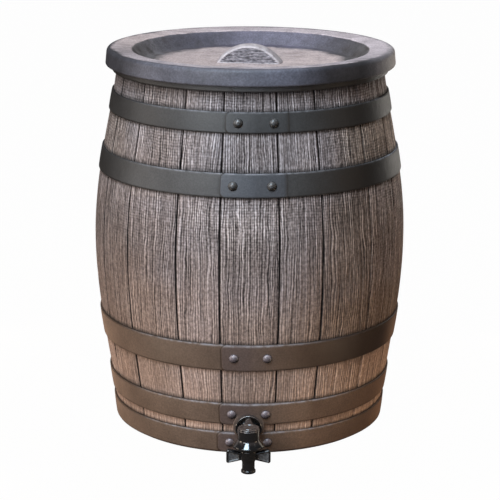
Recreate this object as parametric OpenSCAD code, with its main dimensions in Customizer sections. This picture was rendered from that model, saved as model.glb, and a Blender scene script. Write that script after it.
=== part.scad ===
// Rain barrel: a moulded tub in the form of an oak cask, with hoops, a lift-off lid and a tap.
// Millimetres, +Z up. The ground is z = 0 and the tap is at the front, on the -Y side.

/* [Barrel] */
// Height of the open rim above the ground
barrel_h = 481.5; // [460:0.5:520]
// Outer diameter of the wall at its widest
bulge_d = 402; // [385:1:430]
// Height of the widest point
bulge_z = 243; // [230:1:256]
// Outer diameter of the wall at the ground
base_d = 348; // [336:1:360]
// Outer diameter of the wall at the rim
rim_d = 336; // [328:1:342]
// Height over which the side swings from upright at the bulge to upright again
swell_len = 300; // [280:5:340]
// Thickness of the moulded wall
wall_t = 5; // [4:0.5:7]
// Thickness of the floor
floor_t = 6; // [4:0.5:10]
// Chamfer round the foot
foot_edge = 3; // [1:0.5:4]

/* [Staves] */
// Number of pairs of staves, each a wide one and a narrow one
stave_pairs = 9; // [8:1:12]
// Angle of the wide stave at the front, in degrees
front_stave = 21; // [18:0.5:26]
// Angle of the narrow stave on each side of it
near_stave = 16.25; // [12:0.25:20]
// Angle of each other wide stave
wide_stave = 22.5; // [18:0.5:26]
// Width of the groove between two staves
seam_w = 2; // [1:0.25:3]
// Depth of the groove between two staves
seam_depth = 2; // [1:0.25:2.5]

/* [Hoops] */
// Thickness of a hoop
hoop_t = 2; // [1.5:0.1:3]
// Thickness of the rim hoop under the lid
rim_hoop_t = 6; // [4:0.25:6.5]
// Chamfer along the outer edges of a hoop
hoop_edge = 0.8; // [0.3:0.1:1]
// Height of the base hoop
base_hoop_h = 26.5; // [20:0.5:28]
// Height of the lower hoop's lower edge above the ground
lower_hoop_z = 41; // [36:0.5:60]
// Height of the lower hoop
lower_hoop_h = 28; // [20:0.5:36]
// Height of the lower bulge hoop's lower edge above the ground
lower_bulge_hoop_z = 114.5; // [105:0.5:150]
// Height of the lower bulge hoop
lower_bulge_hoop_h = 34; // [24:0.5:40]
// Distance from the rim down to the upper bulge hoop's upper edge
upper_bulge_hoop_drop = 119.5; // [105:0.5:150]
// Height of the upper bulge hoop
upper_bulge_hoop_h = 29; // [20:0.5:38]
// Distance from the rim down to the upper hoop's upper edge
upper_hoop_drop = 47.5; // [42:0.5:60]
// Height of the upper hoop
upper_hoop_h = 25; // [18:0.5:34]
// Distance from the rim down to the rim hoop's upper edge
rim_hoop_drop = 6; // [4:0.5:10]
// Height of the rim hoop
rim_hoop_h = 18; // [12:0.5:24]

/* [Laps and rivets] */
// Extra thickness where the end of a hoop laps over its start
lap_t = 1.4; // [0.8:0.1:2]
// Length of the lap beyond each of its two rivets
lap_end = 15; // [10:0.5:20]
// How much longer the lap is on its right side
lap_tail = 4; // [0:0.5:8]
// Radius of the lap's corners
lap_corner = 4; // [1:0.5:8]
// Shift of the upper hoop's lap to the right of the front
upper_lap_shift = 7; // [-10:0.5:10]
// Distance between the rivets of the upper hoop
upper_rivet_span = 43; // [38:0.5:55]
// Shift of the upper bulge hoop's lap
upper_bulge_lap_shift = 3; // [-10:0.5:10]
// Distance between the rivets of the upper bulge hoop
upper_bulge_rivet_span = 47; // [38:0.5:55]
// Shift of the lower bulge hoop's lap
lower_bulge_lap_shift = 2; // [-10:0.5:10]
// Distance between the rivets of the lower bulge hoop
lower_bulge_rivet_span = 41; // [38:0.5:55]
// How much farther apart the lower hoop's rivets are than the tap's boss is wide
lower_rivet_room = 3; // [2.5:0.5:16]
// How much farther apart the base hoop's rivets are than the tap's boss is wide
base_rivet_room = 8; // [2.5:0.5:16]
// Diameter of a rivet's head
rivet_d = 12; // [7:0.5:13]
// Height of a rivet's head
rivet_h = 3.8; // [1.5:0.1:4.5]
// Diameter of a rivet's shank
shank_d = 5; // [3:0.5:6]

/* [Lid] */
// Thickness of the lid
lid_t = 5; // [3:0.5:7]
// Height of the skirt below the lid's top
skirt_h = 21; // [17:0.5:30]
// Thickness of the skirt
skirt_t = 4.5; // [3:0.25:6]
// Outward lean of the skirt from the lid's top to its lower edge
skirt_lean = 2; // [0:0.25:3]
// Radius of the lid's upper outer edge
lid_round = 4; // [2:0.5:5]
// Inward slope of the dish's side from its mouth to its floor
dish_slope = 15; // [6:0.5:30]
// Depth of the dish below the lid's top
dish_depth = 19; // [12:0.5:26]
// Fall of the lid's top from its outer edge to the dish
rim_fall = 2; // [0:0.25:4]
// Width of the grip's dome at the dish's floor
grip_w = 85; // [60:1:110]
// Height of the grip above the dish's floor
grip_h = 23.5; // [14:0.5:26]
// Distance of the grip's front face in front of the dome's middle
grip_cut = 15; // [0:0.5:20]
// Angle in degrees by which the lid lies turned on the barrel, clockwise from above
lid_turn = 7; // [0:1:20]
// Distance of the grip's front face in front of the lid's centre
grip_front = 22; // [10:0.5:40]

/* [Tap] */
// Height of the tap's inlet above the ground
tap_z = 39.5; // [39:0.5:56]
// Diameter of the flat boss that the tap is fixed to
boss_d = 39; // [36:0.5:44]
// Height of the boss above the lower hoop
boss_proud = 0.6; // [0.2:0.1:2]
// Height of the flat pad behind the boss above the wall's inner face
pad_proud = 2; // [1.5:0.25:4]
// Outer diameter of the tap's flange
flange_d = 33; // [28:0.5:36]
// Thickness of the flange
flange_t = 5; // [3:0.5:8]
// Distance from the boss to the tap's upright axis
tap_reach = 56; // [48:0.5:70]
// Diameter of the water way through the tap
port_d = 10; // [6:0.5:11]
// Wall of the tap's inlet tube round the water way
tube_wall = 3; // [2:0.25:4]
// Outer diameter of the tap's threaded tail
tail_d = 20.8; // [16:0.1:22]
// Wall of the tap's upright tower round the plug
tower_wall = 5.5; // [3.5:0.25:7]
// Radial flare of the bell on the tower
bell_flare = 5.75; // [2:0.25:7]
// Height of the flared bell
bell_h = 9.5; // [5:0.5:12]
// Height of the plain neck under the bell
neck_h = 4; // [1:0.5:6]
// Width of the rib on top of the inlet tube where it meets the flange
rib_w = 10; // [4:0.5:14]
// Width of the rib where it runs into the tower
rib_root_w = 24; // [12:0.5:26]
// Fall of the rib's top below the tower's
rib_drop = 3.5; // [1:0.25:5]
// Thickness of the two rubber gaskets at the wall
gasket_t = 2.5; // [1.5:0.5:4]
// How far the outer gasket stays inside the flange's edge
gasket_inset = 0.5; // [0:0.25:2]
// Width of the back nut across its flats
nut_af = 30; // [27:0.5:36]
// Thickness of the back nut
nut_t = 9; // [6:0.5:12]
// Length of the tail beyond the back nut
tail_over = 4; // [1:0.5:10]
// Thickness of the round cap on the tower
cap_t = 2; // [1.5:0.25:4]
// Room in the tower's head between the plug's top and the cap
head_room = 6; // [0.3:0.1:8]

/* [Nozzle] */
// Wall of the plug that turns in the tower, round the water way
plug_wall = 3; // [2.5:0.25:4]
// Thickness of the two sealing rings on the plug
ring_d = 1.7; // [1.2:0.1:2]
// Radial step from the plug out to the hub under the tower
hub_step = 2.5; // [1:0.25:4]
// Height of the hub's straight side
hub_h = 9; // [6:0.5:11]
// Height of the cone from the hub in to the spout
cone_h = 6; // [3:0.5:8]
// Span of the two wings
wing_span = 54; // [44:0.5:70]
// Height of a wing at its outer end
wing_tip_h = 17; // [12:0.5:18]
// Height of a wing where it meets the hub
wing_root_h = 8; // [5:0.5:11]
// Thickness of a wing
wing_t = 8; // [5:0.5:10]
// Depth of the sunk panel in each face of a wing
panel_depth = 1.2; // [0.4:0.1:1.5]
// Width of the border round the sunk panel
panel_border = 2.4; // [1.5:0.1:3.5]
// Length of the nozzle below the tower
nozzle_len = 28.5; // [24:0.5:28.5]
// Wall of the spout round the water way
spout_wall = 2.7; // [1.5:0.1:4]
// Radial step from the spout out to the lip at its end
lip_proud = 1.2; // [0.4:0.1:2]
// Height of the lip
lip_h = 3; // [2:0.25:4]

/* [Clearances] */
// Gap between the lid and the rim that it rests over
lid_gap = 0.3; // [0.2:0.05:1]
// Radial gap between the rim hoop and the lower edge of the lid's skirt
skirt_gap = 3.8; // [3.3:0.1:8]
// Radial gap between the barrel's mouth and the lid's dish inside it
dish_gap = 6.5; // [2:0.5:12]
// Gap between the turning nozzle and the tower above it
nozzle_gap = 0.4; // [0.3:0.05:1]
// Radial clearance of the plug in the tower
plug_fit = 0.05; // [0.02:0.01:0.1]
// Radial clearance of a rivet, gasket or nut on what passes through it
slip_fit = 0.1; // [0.05:0.05:0.3]
// Radial clearance of the threaded tail in the barrel's wall
tail_gap = 0.4; // [0.2:0.05:1]

/* [Hidden] */
$fn = 96;

// How far a cutting tool reaches past the face that it cuts
over = 1;
// Longest straight step along the curved side
side_step = 18;

lower_rivet_span = boss_d + lower_rivet_room;
base_rivet_span = boss_d + base_rivet_room;
bulge_r = bulge_d / 2;
base_r = base_d / 2;
rim_r = rim_d / 2;

// Heights of the hoops' lower and upper edges
base_hoop_z = foot_edge;
upper_bulge_hoop_z = barrel_h - upper_bulge_hoop_drop - upper_bulge_hoop_h;
upper_hoop_z = barrel_h - upper_hoop_drop - upper_hoop_h;
rim_hoop_z = barrel_h - rim_hoop_drop - rim_hoop_h;
edges = [
    base_hoop_z, base_hoop_z + base_hoop_h,
    lower_hoop_z, lower_hoop_z + lower_hoop_h,
    lower_bulge_hoop_z, lower_bulge_hoop_z + lower_bulge_hoop_h,
    upper_bulge_hoop_z, upper_bulge_hoop_z + upper_bulge_hoop_h,
    upper_hoop_z, upper_hoop_z + upper_hoop_h,
    rim_hoop_z, rim_hoop_z + rim_hoop_h,
    barrel_h
];

// The side of the cask: a squared sine, upright at the bulge and again swell_len away from it
function swell(d) = pow(sin(90 * d / swell_len), 2);
function below_bulge(z) = bulge_r - (bulge_r - base_r) * swell(bulge_z - z) / swell(bulge_z);
function above_bulge(z) = bulge_r - (bulge_r - rim_r) * swell(z - bulge_z) / swell(barrel_h - bulge_z);
function wall_r(z) = z < bulge_z ? below_bulge(z) : above_bulge(z);

// Heights along the side: one straight step under each hoop, short steps between hoops
function steps(i) = i % 2 == 0 ? 1 : ceil((edges[i + 1] - edges[i]) / side_step);
side_z = [
    for (i = [0 : len(edges) - 2])
        for (k = [0 : steps(i) - 1])
            edges[i] + (edges[i + 1] - edges[i]) * k / steps(i),
    barrel_h
];
function side(inset) = [for (z = side_z) [wall_r(z) - inset, z]];
function reversed(points) = [for (i = [len(points) - 1 : -1 : 0]) points[i]];

// Points of an arc about a centre, from one angle to another
function arc(centre, r, from, to, n = 6) = [
    for (i = [0 : n])
        let (a = from + (to - from) * i / n)
            [centre[0] + r * cos(a), centre[1] + r * sin(a)]
];

// Outline of a rectangle with round corners
function round_rect(x0, z0, x1, z1, r) = concat(
    arc([x1 - r, z1 - r], r, 0, 90),
    arc([x0 + r, z1 - r], r, 90, 180),
    arc([x0 + r, z0 + r], r, 180, 270),
    arc([x1 - r, z0 + r], r, 270, 360)
);

// Angle of each other narrow stave: an even share of what the rest leaves of the circle
narrow_stave = (360 - front_stave - 2 * near_stave - (stave_pairs - 1) * wide_stave) / (stave_pairs - 2);

// Places along the tap, as distances from the barrel's axis and heights
boss_face = wall_r(tap_z + boss_d / 2) + hoop_t + boss_proud;
boss_back = wall_r(tap_z - boss_d / 2) - wall_t - pad_proud;
flange_back = boss_face + gasket_t;
flange_front = flange_back + flange_t;
tower_y = -(boss_face + tap_reach);
nut_face = boss_back - gasket_t;
tail_end = nut_face - nut_t - tail_over;
port_r = port_d / 2;
plug_r = port_r + plug_wall;
bore_r = plug_r + plug_fit;
tower_r = plug_r + tower_wall;
bell_r = tower_r + bell_flare;
hub_r = plug_r + hub_step;
spout_r = port_r + spout_wall;
lip_r = spout_r + lip_proud;
ring_land = 0.7;
ring_rise = port_r + ring_land + ring_d / 2;
ring_shoulder = 1.6;
clip_play = 0.2;
neck_z = tap_z - ring_rise - ring_d / 2 - ring_shoulder;
bell_z = neck_z + neck_h;
clip_seat = tap_z + ring_rise + ring_d / 2 + ring_shoulder - ring_land;
clip_t = 1.2;
clip_z = clip_seat + clip_play;
clip_grip = 1.8;
clip_groove_r = plug_r - clip_grip;
clip_reach = 1.4;
clip_r = plug_r + clip_reach;
clip_land = 0.9;
plug_top = clip_z + clip_t + clip_land;
cap_spigot = 1;
tower_top = plug_top + head_room + cap_spigot;
clip_room = 0.7;
cap_bore_r = clip_r + clip_room;
bell_lip = 2.5;
hub_top = neck_z - nozzle_gap;
spout_tip = hub_top - nozzle_len;

// Places on the lid
lid_under = barrel_h + lid_gap;
lid_top = lid_under + lid_t;
dish_z = lid_top - dish_depth;
lid_r = wall_r(rim_hoop_z) + rim_hoop_t + skirt_gap + skirt_t;
lid_top_r = lid_r - skirt_lean;
dish_r = rim_r - wall_t - dish_gap - lid_t;
dish_floor_r = dish_r - dish_slope;
skirt_z = lid_top - skirt_h;

// A cylinder lying along Y at the tap's height, between two distances in front of the axis
module tap_rod(near, far, d) {
    translate([0, -near, tap_z])
        rotate([90, 0, 0])
            cylinder(h = far - near, d = d);
}

// The wall and the floor, turned about the axis
module tub() {
    inner = [for (p = reversed(side(wall_t))) if (p[1] > floor_t) p];
    foot = [[0, 0], [wall_r(foot_edge) - foot_edge, 0]];
    floor_line = [[wall_r(floor_t) - wall_t, floor_t], [0, floor_t]];
    rotate_extrude()
        polygon(concat(foot, side(0), inner, floor_line));
}

// One upright groove between two staves, cut to an even depth all the way up
module seam() {
    low = [[wall_r(foot_edge) - seam_depth, -over]];
    high = [[rim_r - seam_depth, barrel_h + over], [rim_r + over, barrel_h + over]];
    outside = concat(reversed(side(-over)), [[wall_r(foot_edge) + over, -over]]);
    rotate([90, 0, 0])
        translate([0, 0, -seam_w / 2])
            linear_extrude(seam_w)
                polygon(concat(low, side(seam_depth), high, outside));
}

// Angle of the groove with number k, counted from the front on either side
function groove_angle(k) =
    front_stave / 2 + (k > 0 ? near_stave : 0)
    + floor(k / 2) * wide_stave + max(0, floor((k - 1) / 2)) * narrow_stave;

module seams() {
    front = -90;
    for (k = [0 : stave_pairs - 1])
        for (edge = [-1, 1])
            rotate([0, 0, front + edge * groove_angle(k)])
                seam();
}

module barrel_shell() {
    color("#7d6a5f")
        difference() {
            union() {
                difference() {
                    tub();
                    seams();
                }
                tap_rod(boss_back, boss_face, boss_d);
            }
            tap_rod(boss_back - over, boss_face + over, tail_d + 2 * tail_gap);
        }
}

// A band of even thickness round the wall, with its outer edges chamfered
module band(z, h, t) {
    lower = wall_r(z);
    upper = wall_r(z + h);
    lean = (upper - lower) / h;
    rotate_extrude()
        polygon([
            [lower, z],
            [lower + t - hoop_edge, z],
            [lower + t + lean * hoop_edge, z + hoop_edge],
            [upper + t - lean * hoop_edge, z + h - hoop_edge],
            [upper + t - hoop_edge, z + h],
            [upper, z + h]
        ]);
}

// The lapped end of a hoop: a thicker stretch at the front with round corners
module lap(z, h, shift, span) {
    half = span / 2 + lap_end;
    intersection() {
        band(z, h, hoop_t + lap_t);
        rotate([90, 0, 0])
            linear_extrude(bulge_r + hoop_t + lap_t + over)
                polygon(round_rect(shift - half, z, shift + half + lap_tail, z + h, lap_corner));
    }
}

// Sets a child on the lap of a hoop, at a distance to the right of the front, square to the band
module on_lap(z, h, x) {
    lower = wall_r(z);
    upper = wall_r(z + h);
    lean = atan((upper - lower) / h);
    face = (lower + upper) / 2 + (hoop_t + lap_t) / cos(lean);
    rotate([0, 0, asin(x / face)])
        translate([0, -face, z + h / 2])
            rotate([90 + lean, 0, 0])
                children();
}

module at_rivets(z, h, shift, span) {
    for (edge = [-1, 1])
        on_lap(z, h, shift + edge * span / 2)
            children();
}

module lapped_hoop(z, h, shift, span) {
    difference() {
        union() {
            band(z, h, hoop_t);
            lap(z, h, shift, span);
        }
        at_rivets(z, h, shift, span)
            translate([0, 0, -hoop_t - lap_t - over])
                cylinder(h = hoop_t + lap_t + 2 * over, d = shank_d + 2 * slip_fit);
        tap_rod(boss_back, boss_face + over, boss_d);
    }
}

module base_hoop() {
    color("#5b4a40")
        lapped_hoop(base_hoop_z, base_hoop_h, 0, base_rivet_span);
}

module lower_hoop() {
    color("#5f4d42")
        lapped_hoop(lower_hoop_z, lower_hoop_h, 0, lower_rivet_span);
}

module lower_bulge_hoop() {
    color("#55473f")
        lapped_hoop(lower_bulge_hoop_z, lower_bulge_hoop_h, lower_bulge_lap_shift, lower_bulge_rivet_span);
}

module upper_bulge_hoop() {
    color("#4b4745")
        lapped_hoop(upper_bulge_hoop_z, upper_bulge_hoop_h, upper_bulge_lap_shift, upper_bulge_rivet_span);
}

module upper_hoop() {
    color("#4a4745")
        lapped_hoop(upper_hoop_z, upper_hoop_h, upper_lap_shift, upper_rivet_span);
}

module rim_hoop() {
    color("#57524a")
        band(rim_hoop_z, rim_hoop_h, rim_hoop_t);
}

// A domed head on a shank that stops short of the barrel's wall
module rivet() {
    shank_len = hoop_t + lap_t - slip_fit;
    dome_r = (pow(rivet_d / 2, 2) + pow(rivet_h, 2)) / (2 * rivet_h);
    rotate_extrude()
        polygon(concat(
            [[0, -shank_len], [shank_d / 2, -shank_len], [shank_d / 2, 0]],
            arc([0, rivet_h - dome_r], dome_r, asin(1 - rivet_h / dome_r), 90)
        ));
}

module hoop_rivets() {
    color("#6a6463") {
        at_rivets(base_hoop_z, base_hoop_h, 0, base_rivet_span)
            rivet();
        at_rivets(lower_hoop_z, lower_hoop_h, 0, lower_rivet_span)
            rivet();
        at_rivets(lower_bulge_hoop_z, lower_bulge_hoop_h, lower_bulge_lap_shift, lower_bulge_rivet_span)
            rivet();
        at_rivets(upper_bulge_hoop_z, upper_bulge_hoop_h, upper_bulge_lap_shift, upper_bulge_rivet_span)
            rivet();
        at_rivets(upper_hoop_z, upper_hoop_h, upper_lap_shift, upper_rivet_span)
            rivet();
    }
}

// The lid in one thickness: a dished middle, a broad rim and a skirt round the barrel's mouth
module lid() {
    foot = 1.5;
    edge = arc([lid_top_r - lid_round, lid_top - lid_round], lid_round, 90, 0);
    dish_side = [[0, dish_z], [dish_floor_r, dish_z], [dish_r, lid_top - rim_fall]];
    skirt = [
        [lid_r, skirt_z + foot], [lid_r - foot, skirt_z],
        [lid_r - skirt_t, skirt_z], [lid_top_r - skirt_t, lid_under]
    ];
    underside = [[dish_r + lid_t, lid_under], [dish_floor_r + lid_t, dish_z - lid_t], [0, dish_z - lid_t]];
    color("#5a5a60")
        rotate_extrude()
            polygon(concat(dish_side, edge, skirt, underside));
}

// A low dome cut off in front by an upright half-round face for the fingers
module lid_grip() {
    dome_r = (pow(grip_w / 2, 2) + pow(grip_h, 2)) / (2 * grip_h);
    color("#8a7d77")
        rotate([0, 0, -lid_turn])
            translate([0, -grip_front, dish_z])
                intersection() {
                    translate([0, grip_cut, grip_h - dome_r])
                        sphere(r = dome_r);
                    translate([-dome_r, 0, 0])
                        cube([2 * dome_r, 2 * dome_r, dome_r]);
                }
}

module flange_gasket() {
    color("#1c1c1c")
        difference() {
            tap_rod(boss_face, flange_back, flange_d - 2 * gasket_inset);
            tap_rod(boss_face - over, flange_back + over, tail_d + 2 * slip_fit);
        }
}

module inner_gasket() {
    color("#1c1c1c")
        difference() {
            tap_rod(nut_face, boss_back, nut_af);
            tap_rod(nut_face - over, boss_back + over, tail_d + 2 * slip_fit);
        }
}

module back_nut() {
    color("#1b1b1c")
        difference() {
            translate([0, -nut_face, tap_z])
                rotate([-90, 30, 0])
                    cylinder(h = nut_t, d = nut_af / cos(30), $fn = 6);
            tap_rod(nut_face - nut_t - over, nut_face + over, tail_d + 2 * slip_fit);
        }
}

// The tower with its flared bell and plain neck, turned about the tap's upright axis
module tower() {
    edge = 1;
    translate([0, tower_y, 0])
        rotate_extrude()
            polygon([
                [0, neck_z], [tower_r - edge, neck_z], [tower_r - edge, bell_z],
                [bell_r - edge, bell_z], [bell_r, bell_z + edge], [bell_r, bell_z + bell_lip],
                [tower_r, bell_z + bell_h], [tower_r, tower_top - edge],
                [tower_r - edge, tower_top], [0, tower_top]
            ]);
}

// The rib that braces the inlet tube between the flange and the tower, broader towards the tower
module tube_rib() {
    rib_top = tower_top - rib_drop;
    translate([0, 0, tap_z])
        linear_extrude(rib_top - tap_z)
            polygon([
                [-rib_root_w / 2, tower_y], [rib_root_w / 2, tower_y],
                [rib_w / 2, -flange_front], [-rib_w / 2, -flange_front]
            ]);
}

module tap_body() {
    color("#141415")
        difference() {
            union() {
                tap_rod(flange_back, flange_front, flange_d);
                tap_rod(tail_end, flange_front, tail_d);
                tap_rod(flange_back, -tower_y, port_d + 2 * tube_wall);
                tube_rib();
                tower();
            }
            tap_rod(tail_end - over, -tower_y, port_d);
            translate([0, tower_y, neck_z - over])
                cylinder(h = tower_top - neck_z + 2 * over, r = bore_r);
            translate([0, tower_y, clip_seat])
                cylinder(h = tower_top - clip_seat + over, r = cap_bore_r);
        }
}

// A round cap with a spigot that closes the tower
module tap_cap() {
    inset = 0.4;
    cap_r = tower_r - inset;
    cap_edge = 1;
    spigot_r = cap_bore_r - slip_fit;
    color("#1d1d1f")
        translate([0, tower_y, tower_top])
            rotate_extrude()
                polygon([
                    [0, -cap_spigot], [spigot_r, -cap_spigot], [spigot_r, 0], [cap_r, 0],
                    [cap_r, cap_t - cap_edge], [cap_r - cap_edge, cap_t], [0, cap_t]
                ]);
}

// Top of the wings, which pass under the inlet tube, and how much of the border the panel keeps at the root
wing_top = tap_z - port_r - tube_wall - nozzle_gap;
root_share = 0.6;

// Outline of one wing, seen from the front: broad at its end and narrow at the hub
function wing_outline(inset) =
    let (
        end = wing_span / 2 - inset,
        root = inset > 0 ? hub_r + inset : 0,
        middle = wing_top - wing_tip_h / 2,
        tip_half = wing_tip_h / 2 - inset,
        root_half = wing_root_h / 2 - inset * root_share,
        corner = 3
    )
    concat(
        [[root, middle - root_half]],
        arc([end - corner, middle - tip_half + corner], corner, -70, 0),
        arc([end - corner, middle + tip_half - corner], corner, 0, 70),
        [[root, middle + root_half]]
    );

// Both wings, each with a sunk panel in its front and back faces
module wings() {
    for (turn = [0, 180])
        rotate([90, 0, turn])
            difference() {
                translate([0, 0, -wing_t / 2])
                    linear_extrude(wing_t)
                        polygon(wing_outline(0));
                for (face = [-wing_t / 2 - over, wing_t / 2 - panel_depth])
                    translate([0, 0, face])
                        linear_extrude(panel_depth + over)
                            polygon(wing_outline(panel_border));
            }
}

// The turning piece in one: plug, hub and spout
module nozzle_core() {
    ring_groove_r = plug_r - ring_d;
    ring_play = 0.1;
    lip_edge = 0.5;
    lower_ring = tap_z - ring_rise;
    upper_ring = tap_z + ring_rise;
    groove = ring_d / 2 + ring_play;
    cone_top = hub_top - hub_h;
    cone_foot = cone_top - cone_h;
    rotate_extrude()
        polygon([
            [0, spout_tip], [lip_r - lip_edge, spout_tip], [lip_r, spout_tip + lip_edge],
            [lip_r, spout_tip + lip_h - lip_edge], [spout_r, spout_tip + lip_h + lip_edge],
            [spout_r, cone_foot], [hub_r, cone_top], [hub_r, hub_top], [plug_r, hub_top],
            [plug_r, lower_ring - groove], [ring_groove_r, lower_ring - groove],
            [ring_groove_r, lower_ring + groove], [plug_r, lower_ring + groove],
            [plug_r, upper_ring - groove], [ring_groove_r, upper_ring - groove],
            [ring_groove_r, upper_ring + groove], [plug_r, upper_ring + groove],
            [plug_r, clip_z], [clip_groove_r, clip_z],
            [clip_groove_r, clip_z + clip_t], [plug_r, clip_z + clip_t],
            [plug_r, plug_top], [0, plug_top]
        ]);
}

module tap_nozzle() {
    color("#161617")
        translate([0, tower_y, 0])
            difference() {
                union() {
                    nozzle_core();
                    wings();
                }
                translate([0, 0, spout_tip - over])
                    cylinder(h = tap_z - spout_tip + over, r = port_r);
                translate([0, 0, tap_z])
                    rotate([0, 90, 0])
                        cylinder(h = hub_r, r = port_r);
            }
}

// The two sealing rings, above and below the plug's side port
module nozzle_rings() {
    color("#202020")
        for (rise = [-ring_rise, ring_rise])
            translate([0, tower_y, tap_z + rise])
                rotate_extrude()
                    translate([plug_r - ring_d / 2, 0])
                        circle(d = ring_d);
}

// A split ring in the plug's top groove, which keeps the nozzle from dropping out
module nozzle_clip() {
    split = 4;
    color("#b9bcc0")
        translate([0, tower_y, clip_z])
            difference() {
                cylinder(h = clip_t, r = clip_r);
                translate([0, 0, -over])
                    cylinder(h = clip_t + 2 * over, r = clip_groove_r + slip_fit);
                translate([-split / 2, 0, -over])
                    cube([split, clip_r + over, clip_t + 2 * over]);
            }
}

barrel_shell();
base_hoop();
lower_hoop();
lower_bulge_hoop();
upper_bulge_hoop();
upper_hoop();
rim_hoop();
hoop_rivets();
lid();
lid_grip();
flange_gasket();
tap_body();
tap_cap();
inner_gasket();
back_nut();
tap_nozzle();
nozzle_rings();
nozzle_clip();
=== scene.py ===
"""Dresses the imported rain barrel: grained staves, painted hoops, a rubbed lid and a glossy black tap.

The shape functions work in millimetres and the meshes are in metres. +Z is up and the tap is at the front, on -Y.
An angle called swing is in degrees from the front and positive to the right.
"""

import math

import bpy
import numpy as np
from bpy.props import FloatProperty, FloatVectorProperty, IntProperty, PointerProperty
from mathutils import Matrix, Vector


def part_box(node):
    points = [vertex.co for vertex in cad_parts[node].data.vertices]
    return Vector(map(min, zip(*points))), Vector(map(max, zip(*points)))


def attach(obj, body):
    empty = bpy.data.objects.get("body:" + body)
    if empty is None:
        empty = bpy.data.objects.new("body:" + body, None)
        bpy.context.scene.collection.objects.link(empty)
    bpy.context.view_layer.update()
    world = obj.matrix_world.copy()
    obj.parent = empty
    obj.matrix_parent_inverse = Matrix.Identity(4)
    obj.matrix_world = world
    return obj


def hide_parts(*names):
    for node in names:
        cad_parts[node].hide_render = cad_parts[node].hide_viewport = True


bl_info = {
    "name": "Rain barrel looks",
    "version": (1, 0, 0),
    "blender": (4, 5, 0),
    "location": "View3D > Sidebar > Rain barrel",
    "description": "Builds the grained wall, hoops, lid and tap of a rain barrel round its packed model",
    "category": "Add Mesh",
}

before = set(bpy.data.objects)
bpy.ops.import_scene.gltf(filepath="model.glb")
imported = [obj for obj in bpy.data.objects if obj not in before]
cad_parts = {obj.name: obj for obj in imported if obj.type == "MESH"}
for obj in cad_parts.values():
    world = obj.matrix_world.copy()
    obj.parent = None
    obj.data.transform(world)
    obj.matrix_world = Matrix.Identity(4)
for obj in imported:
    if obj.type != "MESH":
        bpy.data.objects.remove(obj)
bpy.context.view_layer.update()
MM = 0.001
NOISE_SIZE = 128


def node_heights(node):
    """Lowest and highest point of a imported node, in millimetres."""
    low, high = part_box(node)
    return low.z / MM, high.z / MM


def node_depths(node):
    """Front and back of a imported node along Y, in millimetres."""
    low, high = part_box(node)
    return low.y / MM, high.y / MM


TAP_AXIS = -0.5 * sum(node_depths("tap_nozzle")) * MM
INLET_HEIGHT = 0.5 * sum(node_heights("flange_gasket")) * MM
BOSS_FACE = -node_depths("flange_gasket")[1] * MM

# Each lapped hoop: its node, its lap's shift to the right and the distance between its rivets, in millimetres
LAPPED_HOOPS = (
    ("base_hoop", 0.0, 47.0),
    ("lower_hoop", 0.0, 42.0),
    ("lower_bulge_hoop", 2.0, 41.0),
    ("upper_bulge_hoop", 3.0, 47.0),
    ("upper_hoop", 7.0, 43.0),
)
RIM_LAP = ("rim_hoop", 18.0, 50.0)
RIM_LAP_THICKNESS = 0.8
BROWN_HOOPS = ("base_hoop", "lower_hoop", "lower_bulge_hoop")

# Hoop paint: share of the lap's own colour, whose paler blue on the slate hoops is a painted sheen, strength of the
# painted shade on the right, the swings at which that starts, is full, starts to clear and is gone, how much paler
# the right and the left end are as painted light, and the sheen
LAP_TINT = {"upper_hoop": 0.1, "rim_hoop": 0.3}
RIGHT_SHADOW = {"upper_hoop": 0.82, "upper_bulge_hoop": 1.0, "lower_bulge_hoop": 1.0}
SHADOW_RANGE = {"lower_bulge_hoop": (0.0, 40.0, 59.0, 74.0)}
PLAIN_SHADOW_RANGE = (12.0, 44.0, 47.0, 66.0)
SLATE_END_LIGHT, BROWN_END_LIGHT = (0.2, 0.0), (1.6, 1.45)
SLATE_SHEEN, BROWN_SHEEN = 0.5, 0.36

# Wood: where the front lies round the axis, the pitches of the painted grain and saw marks, the mesh columns beside a
# groove as distances from its middle with the share of its depth there, how far apart the staves lie in the painted
# grain, and how many numbers are drawn for them
FRONT = -90.0
GRAIN_PITCH = 0.0032
SAW_PITCH = 0.0034
GROOVE_BANK = (0.0, 0.55, 0.95, 1.6)
GROOVE_END = 4.5
GROOVE_SHARE = (1.0, 0.92, 0.34, 0.16, 0.0)
STAVE_STEP = 0.037
STAVE_DRAWS = 64

# Mesh columns round the turned pieces
LID_COLUMNS = 300
RIVET_COLUMNS = 28
TOWER_COLUMNS = 72
TAP_COLUMNS = 64

# Painted light and shade on the staves that show at the front, as the tone of their paint, and the strength of
# the grain on them, numbered from the front one
STAVE_LIGHT = {0: 0.93, 1: 0.90, 2: 0.80, 3: 0.98, 4: 1.15, 14: 0.84, 15: 0.76, 16: 0.89, 17: 1.06}
STAVE_GRAIN = {0: 1.05, 1: 0.92, 2: 0.97, 3: 1.0, 15: 0.88, 16: 0.88, 17: 0.90}

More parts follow.
